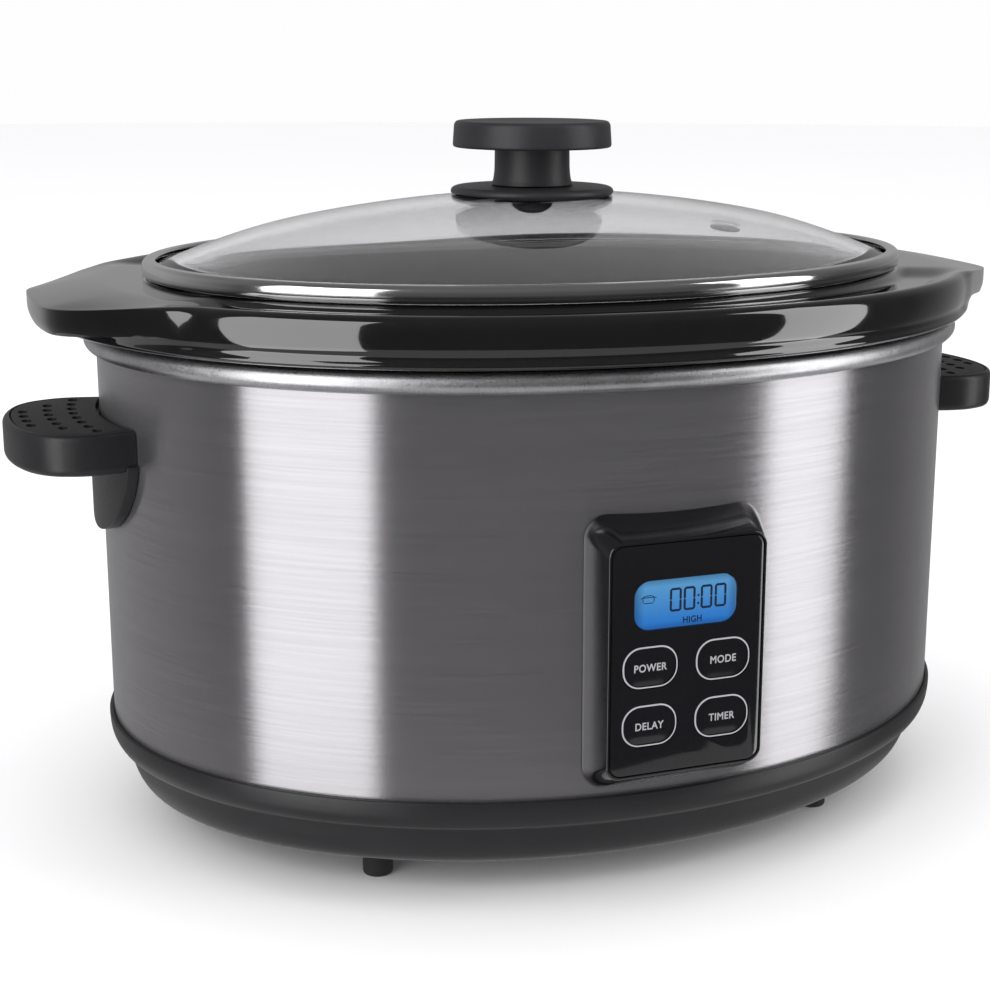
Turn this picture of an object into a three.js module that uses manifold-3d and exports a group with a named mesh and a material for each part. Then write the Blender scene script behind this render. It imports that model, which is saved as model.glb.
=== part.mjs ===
// Oval slow cooker: steel shell, lift-out crock, domed glass lid, front control panel.
// Millimetres, +Z up, length along X, front at -Y, origin on the worktop under the middle.
import * as THREE from "three";
import { mergeVertices } from "three/addons/utils/BufferGeometryUtils.js";
import Module from "manifold-3d";

const wasm = await Module();
wasm.setup();

// ---- Driving dimensions ----
const SEGMENTS = 36; // around every oval
const gap = 0.3; // between pieces that touch
const shell = { length: 305, depth: 244, bottom: 35.8, top: 165, wall: 0.8 };
const base = { underside: 11.4, floor: 2.5, lip: 2, proud: 1.6 };
const foot = { radius: 5, x: 80.8, y: 70.8 };
const tie = { x: 68, y: 40, radius: 4.5, screw: 1.9 };
const liner = { wall: 1, bottom: 44, bead: 3.3, clearance: 2.3, taper: 6.5 };
const crock = { wall: 5.4, lip: 188.6, lipProud: 5, lipOut: 33.5, lugReach: 172.5, lipHeight: 16 };
const lid = { halfDepth: 102.6, halfLength: 136.5, band: 5.6, glass: 3.4, rise: 22.5 };
const knob = { disc: 27.8, height: 9.1, top: 238.9, neck: 13.5, flange: 28.7 };
const handle = { reach: 184.5, halfWidth: 36, top: 145, thickness: 13.5, tongue: 24.5 };
const pad = { rim: 2.4, depth: 2, hole: 1.9, rows: [[177.5, 4], [169.5, 6], [161.5, 8]], pitch: 8 };
const panel = { front: -132, halfWidth: 29.4, bottom: 40, top: 128, runX: 3.2, runZ: 6.7, corner: 4.5 };
const key = { width: 18.3, height: 13.2, corner: 6, pitchX: 24.4, pitchZ: 18.6, low: 63.3 };
const display = { width: 32.4, height: 16.4, x: 0.2, z: 101.2 };
const board = { front: -120.9, thickness: 1.6, halfWidth: 21.5, bottom: 49, top: 119 };
const gland = { z: 22, radius: 5, bore: 3, flange: 7, tip: 132 };
const heater = { bottom: 62, top: 118, thick: 3 };

// ---- Derived sizes ----
const halfDepth = shell.depth / 2;
const shellStretch = (shell.length - shell.depth) / 2;
const lidStretch = lid.halfLength - lid.halfDepth;
const linerTop = shell.top - 5; // where the tapered wall turns out to the bead
const linerTopR = halfDepth - 17;
const beadZ = shell.top + gap + liner.bead;
const beadR = halfDepth + 0.8;
const bandBottom = crock.lip - 0.2 + gap;
const bandTop = bandBottom + lid.band;
const lidApex = bandTop - 1.8 + lid.rise;

const steel = { colour: 0xc9c9cb, roughness: 0.32, metalness: 1 };
const alloy = { colour: 0xb9b9ba, roughness: 0.4, metalness: 1 };
const zinc = { colour: 0xa9abad, roughness: 0.45, metalness: 1 };
const blackPlastic = { colour: 0x1a1a1c, roughness: 0.6, metalness: 0 };
const glossBlack = { colour: 0x08080a, roughness: 0.12, metalness: 0 };
const rubber = { colour: 0x141414, roughness: 0.85, metalness: 0 };
const glaze = { colour: 0x070708, roughness: 0.08, metalness: 0 };
const glass = { colour: 0xdfe4e6, roughness: 0.05, metalness: 0 };
const fibre = { colour: 0xd8d3c4, roughness: 1, metalness: 0 };
const mica = { colour: 0xb8a27a, roughness: 0.7, metalness: 0 };
const boardGreen = { colour: 0x1f5a35, roughness: 0.5, metalness: 0 };
const screenBlue = { colour: 0x2f8fe0, roughness: 0.2, metalness: 0 };
const palePlastic = { colour: 0xe6e3da, roughness: 0.55, metalness: 0 };

// ---- Solids ----
const mix = (a, b, t) => a + (b - a) * Math.min(1, Math.max(0, t));

function solid(geometry) {
  geometry.deleteAttribute("normal");
  geometry.deleteAttribute("uv");
  const merged = mergeVertices(geometry, 1e-3);
  return new wasm.Manifold(
    new wasm.Mesh({
      numProp: 3,
      vertProperties: merged.attributes.position.array,
      triVerts: new Uint32Array(merged.index.array),
    }),
  );
}

function moved(geometry, change) {
  const at = geometry.attributes.position;
  for (let i = 0; i < at.count; i++) {
    at.setXYZ(i, ...change(at.getX(i), at.getY(i), at.getZ(i)));
  }
  return geometry;
}

// A profile of [radius, height] turned about Z, whichever way round it is written.
function lathe(profile, segments) {
  const area = profile.reduce((sum, [r, z], i) => {
    const [r2, z2] = profile[(i + 1) % profile.length];
    return sum + r * z2 - r2 * z;
  }, 0);
  const points = (area > 0 ? profile : [...profile].reverse()).map(
    ([r, z]) => new THREE.Vector2(r, z),
  );
  if (profile[0][0] > 0) points.push(points[0].clone());
  return new THREE.LatheGeometry(points, segments).rotateX(Math.PI / 2);
}

const turned = (profile, segments = 20) => solid(lathe(profile, segments));

// How far an oval of short half-axis r is drawn out along X.
const shellOut = (r) => shellStretch * Math.min(1, r / 60);
const lidOut = (r) => lidStretch * Math.min(1, r / 60);
// The crock follows the liner below its lip and the lid above it.
const crockOut = (r, z) => {
  const mouth = lid.halfDepth - 8;
  const rim = mix(shellStretch, lidStretch, (r - mouth) / 8);
  const high = mix(rim, crock.lipOut, (r - lid.halfDepth) / 20);
  return r < mouth ? shellOut(r) : mix(shellStretch, high, (z - linerTop - 8) / 6);
};
// The base moulding is a little longer for its depth towards its underside.
const baseOut = (r) => shellOut(r) + mix(0, 3.2, (halfDepth - r) / 16) * Math.min(1, r / 60);

function oval(profile, out = shellOut, segments = SEGMENTS) {
  return solid(
    moved(lathe(profile, segments), (x, y, z) => {
      const r = Math.hypot(x, y);
      return [r > 1e-6 ? x * (1 + out(r) / r) : x, y, z];
    }),
  );
}

// Half-length along X of the shell family's oval of short half-axis r, at a given y.
const ovalX = (r, y) => (r + shellOut(r)) * Math.sqrt(1 - (y / r) ** 2);

function box(x0, x1, y0, y1, z0, z1) {
  return solid(
    new THREE.BoxGeometry(x1 - x0, y1 - y0, z1 - z0).translate(
      (x0 + x1) / 2,
      (y0 + y1) / 2,
      (z0 + z1) / 2,
    ),
  );
}

function rod(radius, from, to, axis = "z", segments = 12) {
  const made = turned([[0, from], [radius, from], [radius, to], [0, to]], segments);
  return axis === "z" ? made : made.rotate(axis === "x" ? [0, 90, 0] : [-90, 0, 0]);
}

function roundedRect(width, height, corner) {
  const x = width / 2 - corner;
  const y = height / 2 - corner;
  const quarter = Math.PI / 2;
  return new THREE.Shape()
    .absarc(x, y, corner, 0, quarter)
    .absarc(-x, y, corner, quarter, 2 * quarter)
    .absarc(-x, -y, corner, 2 * quarter, 3 * quarter)
    .absarc(x, -y, corner, 3 * quarter, 4 * quarter);
}

// A flat shape in X and Z, standing from y0 (front) to y1 (back).
function slab(shape, y0, y1, x = 0, z = 0) {
  const made = new THREE.ExtrudeGeometry(shape, {
    depth: y1 - y0,
    bevelEnabled: false,
    curveSegments: 3,
  });
  return solid(made.rotateX(Math.PI / 2).translate(x, y1, z));
}

const root = new THREE.Group();
root.name = "slow_cooker";

function add(name, made, look, parent = root) {
  const mesh = made.getMesh();
  const geometry = new THREE.BufferGeometry();
  geometry.setAttribute("position", new THREE.BufferAttribute(mesh.vertProperties, 3));
  geometry.setIndex(new THREE.BufferAttribute(mesh.triVerts, 1));
  geometry.computeVertexNormals();
  const material = new THREE.MeshStandardMaterial({
    color: look.colour,
    roughness: look.roughness,
    metalness: look.metalness,
  });
  const node = new THREE.Mesh(geometry, material);
  node.name = name;
  parent.add(node);
  return node;
}

// ---- Body ----
const linerR = (z) => linerTopR - (liner.taper * (linerTop - z)) / (linerTop - liner.bottom - 13);
const outerShell = (r) => oval([[r, -20], [r, 300], [0, 300], [0, -20]]);
const sides = [["left", -1], ["right", 1]];
const corners = [
  ["front_left", -1, -1],
  ["front_right", 1, -1],
  ["back_left", -1, 1],
  ["back_right", 1, 1],
];
const handleScrew = { y: 18, z: handle.top - handle.thickness / 2, shank: 1.8, head: 3.6 };
const opening = { halfWidth: 24.9, bottom: panel.bottom + 5.7, top: panel.top - 5.7 };

function makeShell() {
  const r = halfDepth;
  let made = oval([
    [r, shell.bottom],
    [r, shell.top],
    [r - shell.wall, shell.top],
    [r - shell.wall, shell.bottom],
  ]);
  const { halfWidth, bottom, top } = opening;
  made = made.subtract(box(-halfWidth, halfWidth, -r - 5, -r + 20, bottom, top));
  for (const y of [-handleScrew.y, handleScrew.y]) {
    const hole = rod(handleScrew.shank + gap, -200, 200, "x");
    made = made.subtract(hole.translate([0, y, handleScrew.z]));
  }
  add("outer_shell", made, steel);
}

function makeLiner() {
  const top = linerTop;
  const floor = liner.bottom + liner.wall;
  const low = linerR(floor + 12);
  const bead = [];
  for (const angle of [150, 110, 65, 20, -25, -70, -115]) {
    const turn = (angle * Math.PI) / 180;
    bead.push([beadR + liner.bead * Math.cos(turn), beadZ + liner.bead * Math.sin(turn)]);
  }
  const made = oval([
    [0, liner.bottom],
    [low - 14, liner.bottom],
    [low - 3, floor + 3],
    [low + liner.wall, floor + 12],
    [linerTopR + liner.wall, top],
    [linerTopR + 4, top + 3],
    [beadR - liner.bead - 0.2, beadZ - 1.2],
    ...bead.reverse(),
    [linerTopR + 3, top + 4],
    [linerTopR, top],
    [low, floor + 12],
    [low - 4, floor + 3.6],
    [low - 14.4, floor],
    [0, floor],
  ]);
  const sensorHole = rod(5 + gap, liner.bottom - 5, floor + 5, "z", 16);
  add("liner", made.subtract(sensorHole), alloy);
}

function makeHeater() {
  const inner = (z) => linerR(z) + liner.wall + gap;
  const ring = (z0, z1, start, thick) =>
    oval([
      [inner(z0) + start, z0],
      [inner(z0) + start + thick, z0],
      [inner(z1) + start + thick, z1],
      [inner(z1) + start, z1],
    ]);
  const split = (x) => box(-x, x, 60, 200, 0, 200);
  const band = ring(heater.bottom, heater.top, 0, heater.thick);
  add("heater_band", band.subtract(split(5)), mica);

  const middle = (heater.bottom + heater.top) / 2;
  const y = inner(middle) + heater.thick + gap;
  const strap = ring(middle - 5, middle + 5, heater.thick + gap, 1).subtract(split(8));
  let clamp = strap;
  for (const side of [-1, 1]) {
    const x0 = Math.min(8 * side, 9.2 * side);
    let tab = box(x0, x0 + 1.2, y + 0.3, y + 9, middle - 5, middle + 5);
    tab = tab.subtract(rod(1.5 + gap, -20, 20, "x").translate([0, y + 5.5, middle]));
    clamp = clamp.add(tab);
  }
  add("heater_clamp", clamp, zinc);
  const bolt = turned([
    [0, -13.6],
    [1.5, -13.6],
    [1.5, 9.2 + gap],
    [3, 9.2 + gap],
    [3, 11.5],
    [2.4, 12],
    [0, 12],
  ], 12);
  add("clamp_bolt", bolt.rotate([0, 90, 0]).translate([0, y + 5.5, middle]), zinc);
}

function makeInsulation() {
  const outer = halfDepth - shell.wall - 1.7;
  let made = oval([[outer - 9, 48], [outer, 48], [outer, 150], [outer - 9, 150]]);
  made = made.subtract(box(-29, 29, -200, -60, opening.bottom - 4, opening.top + 4));
  made = made.subtract(box(-18, 18, 60, 200, 78, 102));
  for (const side of [-1, 1]) {
    const cut = box(-10, 10, -handleScrew.y - 7, handleScrew.y + 7, 129, 160);
    made = made.subtract(cut.translate([side * (ovalX(outer, 0) - 2), 0, 0]));
  }
  add("insulation_blanket", made, fibre);
}

function makeHeatShield() {
  const rim = shell.bottom;
  const r = halfDepth - shell.wall - gap;
  let made = oval([
    [0, rim + 3.2],
    [r - 12.9, rim + 3.2],
    [r - 8.9, rim],
    [r, rim],
    [r, rim + 0.8],
    [r - 8.5, rim + 0.8],
    [r - 12.5, rim + 4],
    [0, rim + 4],
  ]);
  for (const [, sx, sy] of corners) {
    made = made.subtract(rod(tie.radius + 0.6, 20, 60).translate([sx * tie.x, sy * tie.y, 0]));
  }
  made = made.subtract(box(-9, 9, -r + 1.8, -r + 16, 20, 60));
  add("heat_shield", made, alloy);
}

const screwSeat = base.underside + 6.3;

function makeBase() {
  const z0 = base.underside;
  const floor = z0 + base.floor;
  const outer = halfDepth + base.proud;
  const ledge = shell.bottom - gap;
  let made = oval([
    [0, z0],
    [outer - 17, z0],
    [outer - 13.2, z0 + 1.3],
    [outer - 10.6, z0 + 3.8],
    [outer - 8.4, z0 + 8],
    [outer - 6.8, z0 + 14.6],
    [outer - 4.4, z0 + 15.8],
    [outer - 2, z0 + 17.2],
    [outer - 0.5, z0 + 20],
    [outer, z0 + 23.6],
    [outer, ledge + base.lip - 0.4],
    [outer - 0.3, ledge + base.lip],
    [halfDepth + gap, ledge + base.lip],
    [halfDepth + gap, ledge],
    [halfDepth - 4.5, ledge],
    [halfDepth - 5, z0 + 18],
    [outer - 9.3, z0 + 14.6],
    [outer - 10.8, z0 + 8.6],
    [outer - 12.8, z0 + 5.2],
    [outer - 18, floor],
    [0, floor],
  ], baseOut);
  // Flat boss and hole for the gland.
  const boss = rod(gland.flange + 1.2, halfDepth - 9, halfDepth, "y", 12).translate([0, 0, gland.z]);
  made = made.add(boss).subtract(
    rod(gland.radius + gap, 90, 130, "y").translate([0, 0, gland.z]),
  );
  for (const [, sx, sy] of corners) {
    const well = [sx * tie.x, sy * tie.y, 0];
    made = made.add(rod(6.6, floor - 1, screwSeat + 2.6).translate(well));
    made = made.subtract(rod(4.8, z0 - 1, screwSeat).translate(well));
    made = made.subtract(rod(tie.screw + gap, z0, screwSeat + 9).translate(well));
    const post = [sx * foot.x, sy * foot.y, 0];
    const mound = turned([[0, z0 - 2.4], [6.5, z0 - 2.4], [9, z0 + 1], [0, z0 + 1]], 12);
    made = made.add(mound.translate(post));
    made = made.subtract(rod(2.4 + gap, 0, 30).translate(post));
  }
  for (let i = 0; i < 6; i++) {
    const slot = box(-20, 20, -1.5, 1.5, 5, 20).translate([0, -55 + i * 7, 0]);
    made = made.subtract(slot);
  }
  for (const [x, y] of powerBoard.posts) {
    made = made.add(rod(3, floor - 1, powerBoard.z - gap).translate([x, y, 0]));
    made = made.subtract(rod(0.9, floor + 1, 30, "z", 8).translate([x, y, 0]));
  }
  add("base_housing", made, blackPlastic);
}

function makeFeet() {
  const z0 = base.underside;
  const made = turned([
    [0, 0],
    [foot.radius - 0.5, 0],
    [foot.radius, 0.6],
    [foot.radius, z0 - 2.4 - gap],
    [2.4, z0 - 2.4 - gap],
    [2.4, z0 + base.floor + gap],
    [3.6, z0 + base.floor + gap],
    [1.8, z0 + base.floor + 3],
    [0, z0 + base.floor + 3],
  ], 12);
  for (const [where, sx, sy] of corners) {
    add(`foot_${where}`, made, rubber).position.set(sx * foot.x, sy * foot.y, 0);
  }
}

function makeTies() {
  const bottom = screwSeat + 2.6 + gap;
  const post = turned([
    [tie.screw + gap, bottom],
    [tie.radius, bottom],
    [tie.radius, liner.bottom - gap],
    [0, liner.bottom - gap],
    [0, bottom + 12],
    [tie.screw + gap, bottom + 12],
  ].reverse(), 12);
  const screw = turned([
    [0, screwSeat - gap - 2.8],
    [3.6, screwSeat - gap - 2.8],
    [4.2, screwSeat - gap - 2],
    [4.2, screwSeat - gap],
    [tie.screw, screwSeat - gap],
    [tie.screw, bottom + 10],
    [0, bottom + 10],
  ], 12).subtract(crossRecess(screwSeat - gap - 2.8, 1));
  for (const [where, sx, sy] of corners) {
    add(`tie_post_${where}`, post, zinc).position.set(sx * tie.x, sy * tie.y, 0);
    add(`base_screw_${where}`, screw, zinc).position.set(sx * tie.x, sy * tie.y, 0);
  }
}

// Cross-shaped cut into a head whose face is at z; deep 1 cuts upward, -1 downward.
function crossRecess(z, deep, size = 2.2) {
  const z0 = Math.min(z - deep * 0.5, z + deep * 1.2);
  const bar = box(-size, size, -0.45, 0.45, z0, z0 + 1.7);
  return bar.add(bar.rotate([0, 0, 90]));
}

const powerBoard = {
  z: base.underside + base.floor + 4.5,
  x0: -50,
  x1: 34,
  y0: 0,
  y1: 62,
  posts: [[-46, 4], [30, 58], [-46, 58], [30, 4]],
};

function makePowerBoard() {
  const { z, x0, x1, y0, y1, posts } = powerBoard;
  let plate = box(x0, x1, y0, y1, z, z + 1.6);
  for (const [x, y] of posts) {
    plate = plate.subtract(rod(0.9 + gap, z - 5, z + 5, "z", 8).translate([x, y, 0]));
  }
  add("power_board", plate, boardGreen);
  const deck = z + 1.6 + gap;
  add("relay", box(-38, -19, 18, 34, deck, deck + 15), glossBlack);
  add("transformer", box(-4, 20, 22, 44, deck, deck + 16.5), mica);
  add("terminal_block", box(-12, 12, 78, 90, base.underside + base.floor + gap, 26), palePlastic);
}

function makeGland() {
  const seat = halfDepth + gap;
  const made = turned([
    [gland.bore, halfDepth - 14],
    [gland.radius, halfDepth - 14],
    [gland.radius, seat],
    [gland.flange, seat],
    [gland.flange, seat + 1.8],
    [gland.radius, seat + 2.6],
    [gland.radius - 1, gland.tip],
    [gland.bore, gland.tip],
  ], 12);
  add("cord_gland", made.rotate([-90, 0, 0]).translate([0, 0, gland.z]), rubber);
}

function makeSensor() {
  const floor = liner.bottom + liner.wall;
  const made = turned([
    [0, floor - 4],
    [5, floor - 4],
    [5, floor + gap],
    [7.5, floor + gap],
    [7.5, floor + 2],
    [7, floor + 2.4],
    [0, floor + 2.4],
  ], 16);
  add("temperature_sensor", made, alloy);
  const fuse = rod(1.6, 18, 40, "x", 8).translate([0, 0, liner.bottom - gap - 1.6]);
  add("thermal_fuse", fuse, zinc);
}

// ---- Handles ----
// Plan of the right handle, drawn in from its edge by inset and widened below the shell line.
function handlePlan(inset) {
  const w = handle.halfWidth - inset;
  const tip = handle.reach - inset;
  const near = ovalX(halfDepth, 0) - 14;
  return new THREE.Shape()
    .moveTo(near, -w + 4)
    .lineTo(near + 10, -w + 3)
    .bezierCurveTo(near + 20, -w, near + 24, -w - 0.5, near + 32, -w + 3)
    .bezierCurveTo(near + 40, -w + 7, tip, -w * 0.45, tip, 0)
    .bezierCurveTo(tip, w * 0.45, near + 40, w - 7, near + 32, w - 3)
    .bezierCurveTo(near + 24, w + 0.5, near + 20, w, near + 10, w - 3)
    .lineTo(near, w - 4)
    .lineTo(near, -w + 4);
}

function raised(shape, z0, z1, bevel = 0, curveSegments = 4) {
  const made = new THREE.ExtrudeGeometry(shape, {
    depth: z1 - z0 - 2 * bevel,
    bevelEnabled: bevel > 0,
    bevelThickness: bevel,
    bevelSize: bevel,
    bevelOffset: -bevel,
    bevelSegments: 1,
    curveSegments,
  });
  return solid(made.translate(0, 0, z0 + bevel));
}

function tongueShape() {
  const w = handle.halfWidth - 2;
  const top = handle.top - handle.thickness + 1;
  const bottom = top - 1 - handle.tongue;
  return new THREE.Shape()
    .moveTo(-w, top)
    .bezierCurveTo(-w + 2, top - 13, -w * 0.6, bottom, 0, bottom)
    .bezierCurveTo(w * 0.6, bottom, w - 2, top - 13, w, top)
    .lineTo(-w, top);
}

function makeHandles() {
  const bottom = handle.top - handle.thickness;
  const against = outerShell(halfDepth + gap);
  const padGap = outerShell(halfDepth + gap + 1);
  const padFloor = handle.top - pad.depth;
  const tongueRing = outerShell(halfDepth + 3.6).subtract(against);
  const tongue = new THREE.ExtrudeGeometry(tongueShape(), {
    depth: 60,
    bevelEnabled: false,
    curveSegments: 6,
  });
  const tongueBar = solid(tongue.rotateX(Math.PI / 2).rotateZ(Math.PI / 2).translate(120, 0, 0));

  let grip = raised(handlePlan(0), bottom, handle.top, 1.2);
  grip = grip.add(tongueBar.intersect(tongueRing)).subtract(against);
  grip = grip.subtract(raised(handlePlan(pad.rim), padFloor - gap, handle.top + 5));
  for (const y of [-handleScrew.y, handleScrew.y]) {
    const bore = rod(handleScrew.shank + gap, 100, ovalX(halfDepth, y) + 12, "x");
    grip = grip.subtract(bore.translate([0, y, handleScrew.z]));
  }
  let top = raised(handlePlan(pad.rim + 1.6 * gap), padFloor, handle.top).subtract(padGap);
  for (const [x, count] of pad.rows) {
    for (let i = 0; i < count; i++) {
      const y = (i - (count - 1) / 2) * pad.pitch;
      const hole = rod(pad.hole, padFloor - 1, handle.top + 1, "z", 6).scale([0.85, 1.35, 1]);
      top = top.subtract(hole.translate([x - (y * y) / 250, y, 0]));
    }
  }
  const inside = halfDepth - shell.wall;
  const seat = ovalX(inside, handleScrew.y + handleScrew.head) - gap - 0.6;
  const screw = turned([
    [0, seat - 2.4],
    [2.8, seat - 2.4],
    [handleScrew.head, seat - 1.4],
    [handleScrew.head, seat],
    [handleScrew.shank, seat],
    [handleScrew.shank, seat + 11],
    [0, seat + 11],
  ], 12).rotate([0, 90, 0]);
  for (const [where, side] of sides) {
    const turn = [0, 0, side > 0 ? 0 : 180];
    add(`${where}_handle`, grip.rotate(turn), blackPlastic);
    add(`${where}_grip_pad`, top.rotate(turn), blackPlastic);
    for (const [end, y] of [["front", -handleScrew.y], ["back", handleScrew.y]]) {
      const placed = screw.rotate(turn).translate([0, y, handleScrew.z]);
      add(`${where}_handle_screw_${end}`, placed, zinc);
    }
  }
}

// ---- Control panel ----
const face = panel.front;
const keys = [
  ["power", -1, 1],
  ["mode", 1, 1],
  ["delay", -1, 0],
  ["timer", 1, 0],
];
const keyAt = (column, row) => [(column * key.pitchX) / 2, key.low + row * key.pitchZ];
const panelZ = (panel.bottom + panel.top) / 2;
const frontShape = { w: 2 * (panel.halfWidth - panel.runX), h: panel.top - panel.bottom - 2 * panel.runZ };
const windowShape = roundedRect(frontShape.w - 2.2, frontShape.h - 2.2, panel.corner - 0.8);
const windowBack = face + 1.2;
const bezelFloor = windowBack + gap;
const bezelBack = bezelFloor + 1.8;
const bosses = [-1, 1].flatMap((sx) => [
  [sx * (board.halfWidth - 2.9), board.bottom + 3.5],
  [sx * (board.halfWidth - 2.9), board.top - 3.5],
]);

function makeBezel() {
  const run = halfDepth - 8;
  // Flared body: the outline grows by runX and runZ on its way back to the shell.
  const flare = new THREE.ExtrudeGeometry(roundedRect(frontShape.w, frontShape.h, panel.corner), {
    depth: 4,
    bevelEnabled: true,
    bevelThickness: 11,
    bevelSize: panel.runX,
    bevelSegments: 1,
    curveSegments: 3,
  });
  const grow = (frontShape.h / 2 + panel.runZ) / (frontShape.h / 2 + panel.runX);
  moved(flare, (x, y, z) => [x, z > -1 && z < 5 ? y * grow : y, z]);
  let made = solid(flare.rotateX(-Math.PI / 2).translate(0, face + 11, 0));
  made = made.translate([0, 0, panelZ]).subtract(box(-50, 50, -run, 0, 0, 200));
  made = made.subtract(outerShell(halfDepth + gap));
  const tube = { w: 2 * (opening.halfWidth - gap), h: opening.top - opening.bottom - 2 * gap };
  made = made.add(slab(roundedRect(tube.w, tube.h, 3), bezelFloor + 0.5, -110, 0, panelZ));
  const hollow = roundedRect(tube.w - 3, tube.h - 3, 2);
  made = made.subtract(slab(hollow, bezelBack, 0, 0, panelZ));
  const recess = roundedRect(frontShape.w - 1.6, frontShape.h - 1.6, panel.corner - 0.5);
  made = made.subtract(slab(recess, face - 5, bezelFloor, 0, panelZ));
  for (const [x, z] of bosses) {
    made = made.add(rod(2.5, bezelBack - 1, board.front - gap, "y").translate([x, 0, z]));
    made = made.subtract(rod(0.9 + gap, bezelBack, 0, "y", 8).translate([x, 0, z]));
  }
  for (const [, column, row] of keys) made = made.subtract(keySolid(gap, face - 1, 0, column, row));
  const lit = roundedRect(display.width + 2.6, display.height + 2.6, 5.3);
  made = made.subtract(slab(lit, face - 1, bezelBack + 1, display.x, display.z));
  add("panel_bezel", made, glossBlack);
}

function keySolid(grown, y0, y1, column, row) {
  const [x, z] = keyAt(column, row);
  const outline = roundedRect(key.width + 2 * grown, key.height + 2 * grown, key.corner + grown);
  return slab(outline, y0, y1, x, z);
}

function makeWindow() {
  let made = slab(windowShape, face, windowBack, 0, panelZ);
  for (const [, column, row] of keys) made = made.subtract(keySolid(gap, -200, 0, column, row));
  add("panel_window", made, glossBlack);
  const lcd = roundedRect(display.width + 2, display.height + 2, 5);
  const lcdBack = bezelBack + 0.6;
  add("lcd_display", slab(lcd, bezelFloor, lcdBack, display.x, display.z), screenBlue);
  const light = box(-15, 15, lcdBack + gap, board.front - gap, -8, 8);
  add("lcd_backlight", light.translate([display.x, 0, display.z]), palePlastic);
}

function makeKeys() {
  const flangeFront = bezelBack + gap;
  const flangeBack = flangeFront + 1;
  const switchTop = board.front - gap - 4;
  for (const [name, column, row] of keys) {
    const [x, z] = keyAt(column, row);
    let cap = keySolid(0, face, flangeBack, column, row);
    const flange = roundedRect(key.width + 2, key.height + 2, key.corner + 1);
    cap = cap.add(slab(flange, flangeFront, flangeBack, x, z));
    const stem = rod(2, flangeBack - 0.5, switchTop - 0.7, "y").translate([x, 0, z]);
    add(`key_${name}`, cap.add(stem), glossBlack);
    const body = box(-3, 3, switchTop + 0.6, board.front - gap, -3, 3);
    const button = rod(1.6, switchTop, switchTop + 1, "y");
    add(`tact_switch_${name}`, body.add(button).translate([x, 0, z]), zinc);
  }
}

function makeBoard() {
  const back = board.front + board.thickness;
  let made = box(-board.halfWidth, board.halfWidth, board.front, back, board.bottom, board.top);
  for (const [x, z] of bosses) {
    made = made.subtract(rod(1.3, -140, -100, "y", 8).translate([x, 0, z]));
  }
  add("control_board", made, boardGreen);
  add("buzzer", rod(6, back + gap, back + 7, "y", 16).translate([8, 0, 74]), rubber);
  const fixings = [["low", bosses[0]], ["high", bosses[3]]];
  for (const [where, [x, z]] of fixings) {
    const screw = turned([
      [0, bezelBack + 1],
      [0.9, bezelBack + 1],
      [0.9, back + gap],
      [2.2, back + gap],
      [1.8, back + gap + 1.5],
      [0, back + gap + 1.5],
    ], 12);
    add(`board_screw_${where}`, screw.rotate([-90, 0, 0]).translate([x, 0, z]), zinc);
  }
}

// Flat ribbon from the control board down through the shield to the power board.
function makeRibbon() {
  const y = board.front + board.thickness + gap;
  const half = 0.4;
  const drop = -halfDepth + 14.5; // clear of the bezel's tube and the heater
  const end = powerBoard.z + 1.6 + gap + half;
  const path = [
    [y + half, 57],
    [y + half + 4, 55.5],
    [drop, 52],
    [drop, end + 4],
    [drop + 4, end],
    [powerBoard.y0 + 6, end],
  ];
  const side = (sign) =>
    path.map(([py, pz], i) => {
      const [ay, az] = path[Math.max(0, i - 1)];
      const [by, bz] = path[Math.min(path.length - 1, i + 1)];
      const long = Math.hypot(by - ay, bz - az);
      return new THREE.Vector2(py + (sign * half * (az - bz)) / long, pz + (sign * half * (by - ay)) / long);
    });
  const strip = new THREE.Shape([...side(-1), ...side(1).reverse()]);
  const made = new THREE.ExtrudeGeometry(strip, { depth: 12, bevelEnabled: false });
  // Profile drawn in Y and Z: swing it round so that its depth lies along X.
  const ribbon = solid(made.rotateX(Math.PI / 2).rotateZ(Math.PI / 2));
  add("ribbon_cable", ribbon.translate([-6, 0, 0]), palePlastic);
}

// ---- Crock ----
// Outline of a lug at y: straight run off the lip's oval, rounded into a blunt tip.
function lugX(y, scale) {
  const run = 133.5 + 0.857 * (73.6 - Math.abs(y) / scale);
  const tip = crock.lugReach + 1.2 - 0.0015 * y * y;
  return (run + tip) / 2 - Math.hypot((run - tip) / 2, 1.8);
}

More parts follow.
